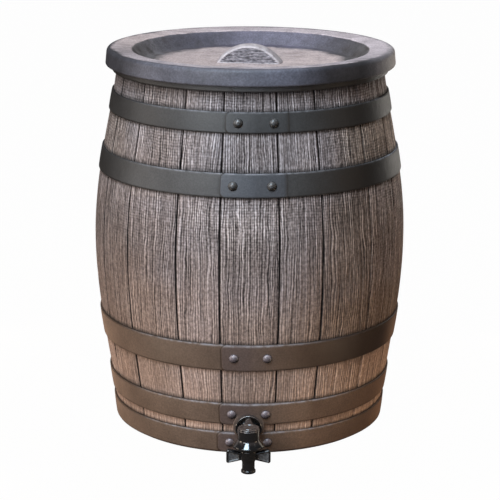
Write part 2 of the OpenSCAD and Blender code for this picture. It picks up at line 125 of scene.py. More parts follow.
# Each lamp: name, place, target, width and height, watts, colour and the kinds of ray that do not see it
MIDDLE, TAP_SIDE = (0.0, 0.0, 0.26), (0.0, -0.24, 0.05)
WHITE = (1.0, 1.0, 1.0)
LAMPS = (
    ("key softbox", (-1.35, -2.0, 1.25), MIDDLE, (1.0, 1.5), 37.0, (0.97, 0.98, 1.0), ()),
    ("bright window", (-0.8, -2.1, 1.7), MIDDLE, (0.3, 0.3), 8.0, WHITE, ()),
    ("small window", (0.3, -2.1, 1.6), MIDDLE, (0.16, 0.16), 2.5, WHITE, ()),
    ("front sky", (-0.5, -1.6, 2.4), MIDDLE, (1.2, 0.8), 62.0, (0.64, 0.83, 1.0), ()),
    ("low front strip", (-0.3, -2.25, 0.30), MIDDLE, (1.0, 0.4), 5.5, (0.58, 0.77, 1.0), ()),
    ("top softbox", (-0.2, 0.2, 2.3), MIDDLE, (1.4, 1.4), 21.0, (0.96, 0.96, 1.0), ()),
    ("left fill", (-2.3, -0.2, 0.7), MIDDLE, (0.9, 1.4), 11.0, (1.0, 0.88, 0.78), ()),
    ("right fill", (2.2, -0.8, 0.6), MIDDLE, (1.0, 1.2), 2.6, (1.0, 0.70, 0.44), ()),
    ("left card", (-0.36, -0.28, 0.03), (-0.1, -0.08, 0.05), (0.16, 0.06), 0.36, (1.0, 0.80, 0.62), ("camera",)),
    ("right card", (0.36, -0.28, 0.03), (0.1, -0.08, 0.05), (0.16, 0.06), 0.22, (1.0, 0.74, 0.52), ("camera",)),
    ("left strip", (-0.095, -0.19, 0.05), TAP_SIDE, (0.03, 0.08), 0.004, (1.0, 0.86, 0.84), ("camera",)),
    ("right strip", (0.095, -0.19, 0.05), TAP_SIDE, (0.03, 0.08), 0.009, (1.0, 0.88, 0.72), ("camera",)),
    ("right edge card", (0.50, 0.36, 0.36), (0.16, 0.02, 0.36), (0.16, 0.36), 0.52, (1.0, 0.95, 0.88), ("camera",)),
    (
        "left edge card", (-0.44, 0.32, 0.07), (-0.15, 0.02, 0.10), (0.10, 0.12), 0.75, (1.0, 0.90, 0.80),
        ("camera", "glossy"),
    ),
    (
        "right foot card", (0.44, 0.30, 0.06), (0.15, 0.02, 0.09), (0.10, 0.12), 0.6, (1.0, 0.90, 0.80),
        ("camera", "glossy"),
    ),
    (
        "tap gleam", (0.0, -0.265, 0.19), (0.0, -0.21, 0.05), (0.26, 0.05), 0.16, (1.0, 0.97, 0.95),
        ("camera", "diffuse"),
    ),
)


def length(name, description, metres):
    """A length property in metres."""
    return FloatProperty(name=name, description=description, default=metres, min=0.0, unit="LENGTH", precision=4)


def number(name, description, value, **limits):
    """A plain number property."""
    return FloatProperty(name=name, description=description, default=value, **limits)


def whole(name, description, value, least):
    """A whole number property."""
    return IntProperty(name=name, description=description, default=value, min=least)


def paint(name, description, colour):
    """A linear colour property."""
    return FloatVectorProperty(
        name=name, description=description, default=colour, size=3, min=0.0, max=1.0, subtype="COLOR"
    )


class WallSizes(bpy.types.PropertyGroup):
    """Sizes of the moulded wall and its staves."""

    height: length("Height", "Height of the open rim above the ground", 0.4815)
    bulge_radius: length("Bulge radius", "Outer radius of the wall at its widest", 0.201)
    bulge_height: length("Bulge height", "Height of the widest point", 0.243)
    base_radius: length("Base radius", "Outer radius of the wall at the ground", 0.174)
    rim_radius: length("Rim radius", "Outer radius of the wall at the rim", 0.168)
    swell: length("Swell", "Height over which the side swings from upright to upright", 0.300)
    wall: length("Wall", "Thickness of the moulded wall", 0.005)
    floor: length("Floor", "Thickness of the floor", 0.006)
    foot: length("Foot", "Chamfer round the foot", 0.003)
    seam_depth: length("Groove depth", "Depth of the groove between two staves", 0.002)
    grain_depth: length("Grain depth", "Depth of the deepest crevices in the grain", 0.0009)
    pairs: whole("Stave pairs", "Pairs of a wide and a narrow stave", 9, 3)
    front_angle: number("Front stave", "Angle of the front stave in degrees", 21.0)
    near_angle: number("Near stave", "Angle of each stave beside the front one", 16.25)
    wide_angle: number("Wide stave", "Angle of each other wide stave", 22.5)
    wide_columns: whole("Wide columns", "Mesh columns across a wide stave", 56, 8)
    narrow_columns: whole("Narrow columns", "Mesh columns across a narrow stave", 43, 8)


class HoopSizes(bpy.types.PropertyGroup):
    """Sizes of the hoops, their laps and their rivets."""

    thickness: length("Thickness", "Thickness of a hoop", 0.002)
    rim_thickness: length("Rim thickness", "Thickness of the hoop under the lid", 0.006)
    edge: length("Edge", "Radius along the outer edges of a hoop", 0.0011)
    lap: length("Lap", "Extra thickness of the lapped end", 0.0014)
    lap_end: length("Lap end", "Length of the lap beyond each rivet", 0.015)
    lap_tail: length("Lap tail", "How much longer the lap is on its right side", 0.004)
    lap_corner: length("Lap corner", "Radius of the corners at the lap's left end", 0.0065)
    rivet_radius: length("Rivet radius", "Radius of a rivet's head", 0.006)
    rivet_height: length("Rivet height", "Height of a rivet's head", 0.0038)


class LidSizes(bpy.types.PropertyGroup):
    """Sizes of the lid and its grip."""

    radius: length("Radius", "Radius at the skirt's lower edge", 0.1855)
    top_radius: length("Top radius", "Radius at the lid's top", 0.1835)
    dish_radius: length("Dish radius", "Radius of the dish's mouth", 0.1515)
    dish_floor_radius: length("Dish floor radius", "Radius of the dish's floor", 0.1365)
    dish_depth: length("Dish depth", "Depth of the dish below the lid's top", 0.019)
    thickness: length("Thickness", "Thickness of the lid", 0.005)
    skirt: length("Skirt", "Height of the skirt below the lid's top", 0.021)
    skirt_thickness: length("Skirt thickness", "Thickness of the skirt", 0.0045)
    rim_fall: length("Rim fall", "Fall of the lid's top towards the dish", 0.002)
    edge: length("Edge", "Radius of the upper outer edge", 0.0050)
    top: length("Top", "Height of the lid's top above the ground", 0.4868)
    grip_width: length("Grip width", "Width of the grip's dome at the dish's floor", 0.085)
    grip_height: length("Grip height", "Height of the grip above the dish's floor", 0.0235)
    grip_front: length("Grip front", "Distance of the grip's face in front of the lid's centre", 0.022)
    grip_cut: length("Grip cut", "Distance of the grip's face in front of its dome's middle", 0.015)
    turn: number("Turn", "Clockwise turn of the lid in degrees", 7.0)


class TapSizes(bpy.types.PropertyGroup):
    """Sizes of the tap."""

    inlet_height: length("Inlet height", "Height of the inlet above the ground", INLET_HEIGHT)
    reach: length("Reach", "Distance of the tap's upright axis from the barrel's", TAP_AXIS)
    boss_face: length("Boss face", "Distance of the boss's face from the barrel's axis", BOSS_FACE)
    boss_radius: length("Boss radius", "Radius of the flat boss behind the flange", 0.0195)
    flange_radius: length("Flange radius", "Radius of the flange", 0.0165)
    flange: length("Flange", "Thickness of the flange", 0.005)
    flange_recess: length("Flange recess", "Depth of the flange's front inside its rim", 0.002)
    tube_radius: length("Tube radius", "Radius of the inlet tube", 0.008)
    tail_radius: length("Tail radius", "Radius of the threaded tail", 0.0104)
    tower_radius: length("Tower radius", "Radius of the upright tower", 0.0135)
    bell_radius: length("Bell radius", "Radius of the flared bell", 0.01925)
    bell_height: length("Bell height", "Height of the flared bell", 0.0095)
    neck_drop: length("Neck drop", "Distance of the tower's lower end below the inlet", 0.009)
    hood_flange: length("Hood at flange", "Width of the hood on the inlet tube at the flange", 0.010)
    hood_tower: length("Hood at tower", "Width of the hood where it runs into the tower", 0.024)
    hood_drop: length("Hood drop", "Fall of the hood's top below the tower's", 0.0035)
    hub_radius: length("Hub radius", "Radius of the turning hub", 0.0105)
    spout_radius: length("Spout radius", "Radius of the spout", 0.0077)
    lip_radius: length("Lip radius", "Radius of the lip at the spout's end", 0.0089)
    port_radius: length("Port radius", "Radius of the water way", 0.005)
    wing_span: length("Wing span", "Span of the two wings", 0.054)
    wing_tip: length("Wing tip", "Height of a wing at its outer end", 0.017)
    wing_root: length("Wing root", "Height of a wing at the hub", 0.008)
    wing_thickness: length("Wing thickness", "Thickness of a wing", 0.008)
    wing_gap: length("Wing gap", "Gap between the wings' top and the inlet tube", 0.0004)


class Finish(bpy.types.PropertyGroup):
    """Colours of the paints and plastics."""

    crevice: paint("Crevice", "Dark paint left in the grain's crevices", (0.018, 0.014, 0.013))
    grain: paint("Grain", "Middle colour of the grain", (0.168, 0.146, 0.144))
    ridge: paint("Ridge", "Pale paint rubbed off the grain's ridges", (0.58, 0.54, 0.55))
    foot_tint: paint("Foot tint", "Tint of the wood at the foot", (1.0, 0.78, 0.61))
    belly_tint: paint("Belly tint", "Tint of the wood at the widest point", (0.97, 0.86, 0.81))
    rim_tint: paint("Rim tint", "Tint of the wood at the rim", (1.0, 0.98, 1.0))
    slate: paint("Slate", "Paint of the upper hoops", (0.034, 0.032, 0.031))
    # The laps' slate is paler and bluer than the hoops': a painted sheen
    lap_slate: paint("Lap slate", "Paint of the upper hoops' laps", (0.046, 0.048, 0.055))
    brown: paint("Brown", "Paint of the lower hoops", (0.092, 0.060, 0.042))
    lap_brown: paint("Lap brown", "Paint of the lower hoops' laps", (0.072, 0.048, 0.040))
    # Painted shade on the hoops: dark lines along their edges and lap ends, dark top faces on the lower hoops, and
    # darker patches on their sides and ends
    slate_shadow: paint("Slate soot", "Dark along edges and ends of the upper hoops", (0.008, 0.006, 0.005))
    brown_shadow: paint("Brown soot", "Dark along edges and ends of the lower hoops", (0.016, 0.007, 0.003))
    rivet: paint("Rivet", "Paint of the lower hoops' rivets", (0.072, 0.059, 0.064))
    # The pale upper edges of the hoops are partly wear and partly a painted highlight
    edge_wear_and_highlight: paint("Worn edge", "Pale rubbed edges of hoops", (0.30, 0.29, 0.31))
    lid_slate: paint("Lid slate", "Paint of the lid's side", (0.064, 0.061, 0.073))
    # Painted shade: dark blotches at the sides of the dish's wall
    dish_shadow: paint("Dish shadow", "Dark blotches at the sides of the dish's wall", (0.030, 0.023, 0.019))
    dish_slate: paint("Dish slate", "Paint of the dish's wall", (0.092, 0.087, 0.117))
    lid_pale: paint("Lid pale", "Rubbed paint of the lid's top and dish floor", (0.40, 0.335, 0.335))
    raw: paint("Raw plastic", "Unpainted plastic inside the barrel", (0.080, 0.062, 0.052))
    # The brown on the tap's upper faces is a painted reflection of the brown barrel
    dust_and_reflection: paint("Tap dust", "Brown dust on the tap's upper faces", (0.085, 0.064, 0.056))
    black: paint("Black", "Glossy black of the tap", (0.0055, 0.0055, 0.006))
    rubber: paint("Rubber", "Gaskets and sealing rings", (0.014, 0.014, 0.015))
    steel: paint("Steel", "Spring clip", (0.55, 0.56, 0.58))


class StageSizes(bpy.types.PropertyGroup):
    """Camera, floor and light."""

    lens: number("Lens", "Focal length in millimetres", 136.4, min=10.0)
    camera_back: length("Camera distance", "Distance of the camera in front of the barrel's axis", 2.4012)
    camera_height: length("Camera height", "Height of the camera above the ground", 0.8544)
    camera_tilt: number("Tilt", "Downward tilt of the camera in degrees", 14.85)
    camera_roll: number("Roll", "Roll of the camera in degrees", 0.3)
    shift: number("Shift", "Sideways shift of the picture", 0.001, min=-0.1)
    floor: length("Floor", "Side of the pale floor", 14.0)


# Numbers and noise


def in_mm(sizes, *names):
    """Named sizes in millimetres."""
    return [getattr(sizes, name) / MM for name in names]


def bump(value, middle, width):
    """A soft bump: the bell curve e to the power of minus ((value - middle) / width) squared."""
    return np.exp(-(((value - middle) / width) ** 2))


def smooth(x, low, high):
    """0 below low, 1 above high and a cubic ease between."""
    t = np.clip((x - low) / (high - low), 0.0, 1.0)
    return t * t * (3.0 - 2.0 * t)


def ebb(x, low, high):
    """1 below low, 0 above high and a cubic ease between."""
    return 1 - smooth(x, low, high)


def band(x, start, full, fall, end):
    """1 between full and fall, 0 outside start and end and a cubic ease on both sides."""
    return smooth(x, start, full) * ebb(x, fall, end)


def noise(x, y, seed):
    """Smooth noise from 0 to 1: a seeded square table of numbers, read between its points with a quintic ease."""
    size = NOISE_SIZE
    table = np.random.default_rng(seed).random((size, size))
    x, y = np.broadcast_arrays(np.asarray(x, float), np.asarray(y, float))
    column, row = np.floor(x).astype(int), np.floor(y).astype(int)
    across, up = x - column, y - row
    across = across**3 * (across * (across * 6 - 15) + 10)
    up = up**3 * (up * (up * 6 - 15) + 10)
    left, right = column % size, (column + 1) % size
    low, high = row % size, (row + 1) % size
    lower = table[left, low] * (1 - across) + table[right, low] * across
    upper = table[left, high] * (1 - across) + table[right, high] * across
    return lower * (1 - up) + upper * up


def lines(field):
    """1 along the middle level of a noise field and 0 away from it, which gives wandering lines."""
    return 1.0 - np.abs(2.0 * field - 1.0)


def ring_noise(angle, turns, seed):
    """Noise round a circle that closes on itself: noise read along a circle of a radius that gives so many turns."""
    middle, radius = NOISE_SIZE / 2, turns / (2 * math.pi)
    return noise(middle + radius * np.cos(angle), middle + radius * np.sin(angle), seed)


def front_swing(angle):
    """Degrees from the front, from -180 to 180 and positive to the right, of an angle round the barrel's axis."""
    return np.mod(np.degrees(angle) - FRONT + 180.0, 360.0) - 180.0


def in_view(swing):
    """1 round the front and the sides, 0 at the back and a cubic ease between."""
    return ebb(np.abs(swing), 95.0, 150.0)


# Profiles


def fillet(points, radii, steps):
    """A profile with each inner corner replaced by an arc that touches both of its straights."""
    points = np.asarray(points, float)
    parts = [points[:1]]
    for before, corner, after, radius in zip(points[:-2], points[1:-1], points[2:], radii):
        back, onward = before - corner, after - corner
        reach_back, reach_on = np.linalg.norm(back), np.linalg.norm(onward)
        back, onward = back / reach_back, onward / reach_on
        half = 0.5 * math.acos(float(np.clip(back @ onward, -1.0, 1.0)))
        if radius <= 0 or half > 1.55:
            parts.append(corner[None])
            continue
        reach = min(radius / math.tan(half), 0.49 * reach_back, 0.49 * reach_on)
        centre = corner + (back + onward) / np.linalg.norm(back + onward) * reach / math.cos(half)
        turn = math.pi - 2 * half
        t = np.linspace(0.0, 1.0, steps + 1)[:, None]
        start, end = corner + back * reach - centre, corner + onward * reach - centre
        parts.append(centre + (np.sin((1 - t) * turn) * start + np.sin(t * turn) * end) / math.sin(turn))
    parts.append(points[-1:])
    return np.concatenate(parts)


def fine(profile, step):
    """The same profile with points added so that none of its straights is longer than step."""
    run = np.concatenate([[0.0], np.cumsum(np.linalg.norm(np.diff(profile, axis=0), axis=1))])
    extra = [
        np.linspace(a, b, max(2, int(math.ceil((b - a) / step)) + 1))[:-1] for a, b in zip(run[:-1], run[1:])
    ]
    run_fine = np.concatenate(extra + [run[-1:]])
    return np.stack([np.interp(run_fine, run, profile[:, k]) for k in range(2)], axis=1)


def upward(profile):
    """Upward share of the outward normal along a profile of radius and height that turns left as it goes up."""
    step = np.gradient(profile, axis=0)
    return -step[:, 0] / np.maximum(np.linalg.norm(step, axis=1), 1e-9)


def full_turn(columns):
    """Angles of so many columns round an axis."""
    return np.linspace(0.0, 2 * math.pi, columns, endpoint=False)


def round_axis(radius, angle, height):
    """Points round the barrel's axis: x = r cos a, y = r sin a, z = height."""
    return np.stack(np.broadcast_arrays(radius * np.cos(angle), radius * np.sin(angle), height), axis=-1)


def turned(profile, columns, axis_y=0.0):
    """A profile of radius and height carried round an upright axis: x = r cos a, y = axis + r sin a, z = height."""
    return round_axis(profile[:, :1], full_turn(columns), profile[:, 1:]) + [0.0, axis_y, 0.0]


def turned_along_y(profile, columns, height):
    """A profile of radius and distance carried round a level axis along Y.

    x = r sin a, y = distance, z = height + r cos a.
    """
    angle, radius = full_turn(columns), profile[:, :1]
    return np.stack(
        np.broadcast_arrays(radius * np.sin(angle), profile[:, 1:], height + radius * np.cos(angle)), axis=-1
    )


# Meshes


def skin(points, ring_rows=False, pole_first=False, pole_last=False):
    """Vertices and faces of a grid of points, rows by columns: columns close on themselves.

    Rows close too with ring_rows. A pole is a first or last row that has run together in one point, closed by a fan.
    """
    rows, columns = points.shape[:2]
    first, last = int(pole_first), rows - int(pole_last)
    body = points[first:last]
    count = len(body)
    index = np.arange(count * columns).reshape(count, columns)
    onward = np.roll(index, -1, axis=1)
    if ring_rows:
        low, high = index, np.roll(index, -1, axis=0)
        low_on, high_on = onward, np.roll(onward, -1, axis=0)
    else:
        low, high, low_on, high_on = index[:-1], index[1:], onward[:-1], onward[1:]
    quads = np.stack([low, low_on, high_on, high], axis=-1).reshape(-1, 4)
    vertices, fans = [body.reshape(-1, 3)], []
    total = count * columns
    if pole_first:
        vertices.append(points[0].mean(axis=0)[None])
        fans.append(np.stack([np.full(columns, total), onward[0], index[0]], axis=-1))
        total += 1
    if pole_last:
        vertices.append(points[-1].mean(axis=0)[None])
        fans.append(np.stack([index[-1], onward[-1], np.full(columns, total)], axis=-1))
    triangles = np.concatenate(fans) if fans else np.zeros((0, 3), int)
    return np.concatenate(vertices), quads, triangles


def closed(points):
    """The skin of a grid of points that runs together in a point at both ends."""
    return skin(points, pole_first=True, pole_last=True)


def spread(values, pole_first=False, pole_last=False):
    """Values on a grid of points in the order in which skin() lists its vertices."""
    flat = [values[int(pole_first) : len(values) - int(pole_last)].reshape((-1,) + values.shape[2:])]
    if pole_first:
        flat.append(values[0].mean(axis=0)[None])
    if pole_last:
        flat.append(values[-1].mean(axis=0)[None])
    return np.concatenate(flat)


def joined(*skins):
    """Several closed skins as one list of vertices, quads and triangles."""
    offsets = np.cumsum([0] + [len(s[0]) for s in skins[:-1]])
    return (
        np.concatenate([s[0] for s in skins]),
        np.concatenate([s[1] + k for s, k in zip(skins, offsets)]),
        np.concatenate([s[2] + k for s, k in zip(skins, offsets)]),
    )


def piece(name, surface, body, replaced, materials, attributes):
    """A smooth object from vertices in millimetres, quads and triangles. It rides on a body and stands for nodes."""
    vertices, quads, triangles = surface
    mesh = bpy.data.meshes.new(name)
    mesh.vertices.add(len(vertices))
    mesh.vertices.foreach_set("co", (vertices * MM).astype(np.float32).ravel())
    mesh.loops.add(quads.size + triangles.size)
    mesh.loops.foreach_set("vertex_index", np.concatenate([quads.ravel(), triangles.ravel()]).astype(np.int32))
    starts = np.concatenate([np.arange(len(quads)) * 4, quads.size + np.arange(len(triangles)) * 3])
    mesh.polygons.add(len(starts))
    mesh.polygons.foreach_set("loop_start", starts.astype(np.int32))
    mesh.update(calc_edges=True)
    mesh.validate()
    mesh.polygons.foreach_set("use_smooth", np.ones(len(mesh.polygons), bool))
    for label, values in attributes.items():
        vector = values.ndim == 2
        layer = mesh.attributes.new(label, "FLOAT_VECTOR" if vector else "FLOAT", "POINT")
        layer.data.foreach_set("vector" if vector else "value", values.astype(np.float32).ravel())
    for material in materials:
        mesh.materials.append(material)
    made = bpy.data.objects.new(name, mesh)
    bpy.context.scene.collection.objects.link(made)
    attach(made, body)
    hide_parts(*replaced)
    return made


# Materials


def feed(tree, node, inputs):
    """Gives a shader node its inputs: each is a value or the socket that feeds it, and colours need no alpha."""
    for key, value in inputs.items():
        socket = node.inputs[key]
        if isinstance(value, bpy.types.NodeSocket):
            tree.links.new(value, socket)
        else:
            socket.default_value = (*value, 1.0) if socket.type == "RGBA" else value


def put(tree, kind, inputs=None, **settings):
    """Adds one shader node."""
    made = tree.nodes.new("ShaderNode" + kind)
    for name, value in settings.items():
        setattr(made, name, value)
    feed(tree, made, inputs or {})
    return made


def scaled(colour, factor):
    """A colour times a number."""
    return tuple(factor * channel for channel in colour)


def blended(a, b, share):
    """A share of one colour and the rest of another."""
    return tuple(share * x + (1.0 - share) * y for x, y in zip(a, b))


class Paint:
    """A material with a Principled shader and short ways to add nodes to its tree."""

    def __init__(self, name):
        self.material = bpy.data.materials.new(name)
        self.material.use_nodes = True
        self.tree = self.material.node_tree
        self.tree.nodes.clear()
        self.shader = put(self.tree, "BsdfPrincipled")
        put(self.tree, "OutputMaterial", {"Surface": self.shader.outputs["BSDF"]})
        self.here = put(self.tree, "TexCoord").outputs["Object"]

    def calc(self, operation, *terms, clamp=False):
        """One step of arithmetic on up to three terms."""
        return put(self.tree, "Math", dict(enumerate(terms)), operation=operation, use_clamp=clamp).outputs[0]

    def times(self, product, *factors):
        """The product of all the terms."""
        for factor in factors:
            product = self.calc("MULTIPLY", product, factor)
        return product

    def mapped(self, value, low, high, to_low=0.0, to_high=1.0):
        """A value stretched from one range to another and clamped."""
        inputs = {"Value": value, "From Min": low, "From Max": high, "To Min": to_low, "To Max": to_high}
        return put(self.tree, "MapRange", inputs, clamp=True).outputs["Result"]

    def mixed(self, factor, a, b, blend="MIX"):
        """Two colours mixed by a factor."""
        return put(self.tree, "Mix", {0: factor, 6: a, 7: b}, data_type="RGBA", blend_type=blend).outputs[2]

    def tinted(self, colour, tint):
        """A colour multiplied by a colour or a number."""
        return self.mixed(1.0, colour, tint, "MULTIPLY")

    def ramp(self, factor, *stops):
        """A colour ramp through (place, colour) stops."""
        made = put(self.tree, "ValToRGB", {"Fac": factor})
        marks = made.color_ramp.elements
        while len(marks) < len(stops):
            marks.new(0.5)
        for mark, (place, colour) in zip(marks, stops):
            mark.position = place
            mark.color = (*colour, 1.0)
        return made.outputs["Color"]

    def noise(self, vector, scale, detail=3.0, roughness=0.55, distortion=0.0):
        """Blender's noise on a vector."""
        inputs = {
            "Vector": vector, "Scale": scale, "Detail": detail, "Roughness": roughness, "Distortion": distortion,
        }
        return put(self.tree, "TexNoise", inputs).outputs["Fac"]

    def drawn(self, vector, scale, detail=3.0, roughness=0.55, distortion=0.0):
        """Noise drawn out by a scale of three numbers."""
        longer = put(self.tree, "Mapping", {"Vector": vector, "Scale": scale}, vector_type="POINT").outputs["Vector"]
        return self.noise(longer, 1.0, detail, roughness, distortion)

    def spots(self, scale, detail, low=0.3, high=0.7, to_low=0.0, to_high=1.0, roughness=0.55):
        """Noise on the object's coordinates, stretched from one range to another."""
        return self.mapped(self.noise(self.here, scale, detail, roughness), low, high, to_low, to_high)

    def carried(self, name, output="Fac"):
        """A value that the piece's mesh carries."""
        return put(self.tree, "Attribute", attribute_name=name).outputs[output]

    def part(self, vector, axis):
        """One coordinate of a vector."""
        return put(self.tree, "SeparateXYZ", {"Vector": vector}).outputs[axis]

    def done(self, colour, roughness, bump=None, **values):
        """The material, with a colour, a roughness, a bump of height, strength and distance, and plain values."""
        inputs = {"Base Color": colour, "Roughness": roughness}
        if bump:
            relief = dict(zip(("Height", "Strength", "Distance"), bump))
            inputs["Normal"] = put(self.tree, "Bump", relief).outputs["Normal"]
        names = {"specular": "Specular IOR Level", "metallic": "Metallic"}
        inputs.update({names[key]: value for key, value in values.items()})
        feed(self.tree, self.shader, inputs)
        return self.material


def oak_paint(finish):
    """Moulded oak grain: dark paint in the crevices, pale rubbed ridges, greyer at the rim and browner at the foot.

    Lines along the stave are a sine of the distance across it, bent by noise, with wandering cracks and level saw
    marks. The mesh carries relief with a painted highlight on the grooves' banks, boldness, tone with painted light
    and shade, a cast of painted light, the brown spray under hoops and painted shade beside them.
    """
    p = Paint("rubbed oak paint")
    place = p.carried("place", "Vector")
    height, across = p.part(p.here, "Z"), p.part(place, "X")

    def along_stave(wide, tall, detail, roughness=0.55):
        return p.drawn(place, (wide, tall, 100.0), detail, roughness)

    bend = p.calc("MULTIPLY_ADD", along_stave(55.0, 26.0, 2.0), 0.0052, across)
    bend = p.calc("MULTIPLY_ADD", along_stave(130.0, 5.0, 1.0), 0.0075, bend)
    comb = p.calc("SINE", p.times(bend, 2 * math.pi / GRAIN_PITCH))
    strong = p.mapped(along_stave(140.0, 15.0, 2.0), 0.36, 0.64, 0.08, 0.38)
    beads = p.mapped(along_stave(380.0, 230.0, 1.0), 0.3, 0.7, -0.16, 0.16)
    off_line = p.calc("ABSOLUTE", p.calc("SUBTRACT", along_stave(170.0, 4.0, 1.5, 0.5), 0.5))
    cracks = p.mapped(off_line, 0.006, 0.030, 1.0, 0.0)
    rows = p.calc("MULTIPLY_ADD", along_stave(45.0, 30.0, 2.0), 0.006, height)
    saw = p.calc("SINE", p.times(rows, 2 * math.pi / SAW_PITCH))
    saw_share = p.times(p.spots(13.0, 1.0, 0.36, 0.58), p.mapped(height, 0.22, 0.36, 0.25, 1.0))
    saw_cut = p.times(p.mapped(saw, -0.4, 1.0), saw_share)
    level = p.calc("MULTIPLY_ADD", p.carried("relief"), 0.20, 0.28)
    level = p.calc("ADD", level, p.times(comb, strong))
    level = p.calc("ADD", level, beads)
    level = p.calc("SUBTRACT", level, p.times(cracks, 0.16))
    level = p.calc("SUBTRACT", level, p.times(saw_cut, 0.16))
    pivot = 0.44
    level = p.calc("MULTIPLY_ADD", p.calc("SUBTRACT", level, pivot), p.carried("bold"), pivot, clamp=True)

    middle, dark, pale = tuple(finish.grain), tuple(finish.crevice), tuple(finish.ridge)
    low_middle, high_middle = blended(middle, dark, 0.45), blended(middle, pale, 0.55)
    colour = p.ramp(level, (0.02, dark), (0.20, low_middle), (0.42, middle), (0.66, high_middle), (0.92, pale))
    rise = p.mapped(height, 0.0, 0.48)
    tint = p.ramp(rise, (0.0, finish.foot_tint), (0.48, finish.belly_tint), (0.86, finish.rim_tint))
    colour = p.tinted(colour, tint)
    hue = p.spots(9.0, 2.0, 0.34, 0.66)
    colour = p.tinted(colour, p.ramp(hue, (0.0, (1.0, 0.95, 0.90)), (1.0, (0.95, 0.97, 1.0))))
    # Painted light as a colour: warm at the sides and low down, and a cool painted sheen at the front
    cast = p.ramp(
        p.mapped(p.carried("cast"), -2.0, 1.0),
        (0.0, (1.0, 0.88, 0.70)), (0.333, (1.0, 0.93, 0.84)), (0.667, (0.98, 0.98, 0.98)), (1.0, (0.93, 0.98, 1.0)),
    )
    colour = p.tinted(colour, cast)
    colour = p.mixed(p.times(p.carried("spray"), 0.75), colour, finish.brown)
    # The carried tone is each stave's own tone with painted light and shade on it
    tone = p.times(p.carried("tone"), p.spots(8.0, 3.0, 0.32, 0.68, 0.85, 1.15))
    # Painted light: paler towards the foot, as if lit from the floor
    tone = p.times(tone, p.mapped(height, 0.04, 0.22, 1.36, 1.0))
    # Painted shade beside the hoops and under the lid, joined with the grooves' dark paint
    shade_and_seams = p.calc("SUBTRACT", 1.0, p.times(p.carried("shade_and_seams"), 0.80))
    colour = p.tinted(colour, p.times(tone, shade_and_seams))
    return p.done(colour, p.mapped(level, 0.2, 0.7, 0.85, 0.46), (level, 0.7, 0.0010), specular=0.36)


def groove_shade(finish):
    """Matt dark paint in the grooves between the staves."""
    p = Paint("groove shade")
    dust_and_reflection = p.spots(160.0, 3.0, to_low=0.2, to_high=0.7)
    return p.done(p.tinted(finish.crevice, dust_and_reflection), 0.9, (dust_and_reflection, 0.2, 0.0005), specular=0.06)


def raw_plastic(finish):
    """Unpainted moulded plastic inside the barrel: soft cloudy colour and a fine orange peel."""
    p = Paint("raw moulded plastic")
    colour = p.tinted(finish.raw, p.spots(11.0, 4.0, to_low=0.8, to_high=1.15))
    peel = p.noise(p.here, 420.0, 2.0)
    return p.done(colour, p.mapped(peel, 0.3, 0.7, 0.48, 0.62), (peel, 0.25, 0.0006))


def hoop_paint(name, colour, lap_colour, worn, shadow, sheen):
    """Matt hoop paint: clouded and speckled, with painted light at the ends and painted shade below and in patches.

    The pale upper edge is partly wear and partly a painted highlight.
    """
    p = Paint(name)
    cloud = p.spots(16.0, 4.0, roughness=0.6)
    base = p.ramp(cloud, (0.0, scaled(colour, 0.80)), (0.5, colour), (1.0, scaled(colour, 1.16)))
    # On the slate hoops the laps' paler, bluer colour is a painted sheen
    base = p.mixed(p.carried("lap"), base, lap_colour)
    base = p.tinted(base, p.spots(480.0, 3.0, to_low=0.78, to_high=1.22))
    # Painted light: paler ends and sides
    painted_light = p.calc("MULTIPLY_ADD", p.carried("painted_light"), p.mapped(cloud, 0.0, 1.0, 0.8, 1.2), 1.0)
    base = p.tinted(base, painted_light)
    # Painted light as a colour: cool at the front of the upper hoop and warm on the right of the brown hoops
    hue = p.mapped(p.carried("hue"), -1.0, 1.0)
    base = p.tinted(base, p.ramp(hue, (0.0, (0.92, 0.97, 1.0)), (0.5, WHITE), (1.0, (1.0, 0.87, 0.75))))
    # The pale upper edge: partly wear and partly a painted highlight
    rubbed = p.times(p.carried("upper_edge"), p.spots(150.0, 3.0, 0.34, 0.62, 0.15, 1.3), 0.42)
    base = p.mixed(rubbed, base, worn)
    # Painted shade along the lower edges, at the laps' ends, on the brown hoops' top faces and in patches
    base = p.mixed(p.times(p.carried("painted_shadow"), 0.85), base, shadow)
    dull = p.calc("MULTIPLY_ADD", p.carried("upper_edge"), 0.25, p.mapped(cloud, 0.0, 1.0, 0.44, 0.56))
    return p.done(base, dull, (p.noise(p.here, 120.0, 4.0), 0.34, 0.0012), specular=sheen)


def rivet_paint(finish):
    """Painted rivet heads, with painted shade round the foot and underneath and painted light towards the upper left.
    """
    p = Paint("rivet paint")
    base = p.mixed(p.mapped(p.part(p.here, "Z"), 0.16, 0.32), finish.rivet, finish.slate)
    grit = p.spots(600.0, 3.0, to_low=0.8, to_high=1.2)
    base = p.tinted(base, grit)
    # Painted shade round the foot of each head
    base = p.tinted(base, p.mapped(p.carried("crown"), 0.0, 0.45, 0.12, 0.9))
    # Painted light towards the upper left and painted shade underneath
    base = p.tinted(base, p.mapped(p.carried("upper"), -0.7, 0.8, 0.12, 2.6))
    return p.done(base, p.mapped(grit, 0.8, 1.2, 0.20, 0.32), (p.noise(p.here, 320.0, 2.0), 0.25, 0.0005))


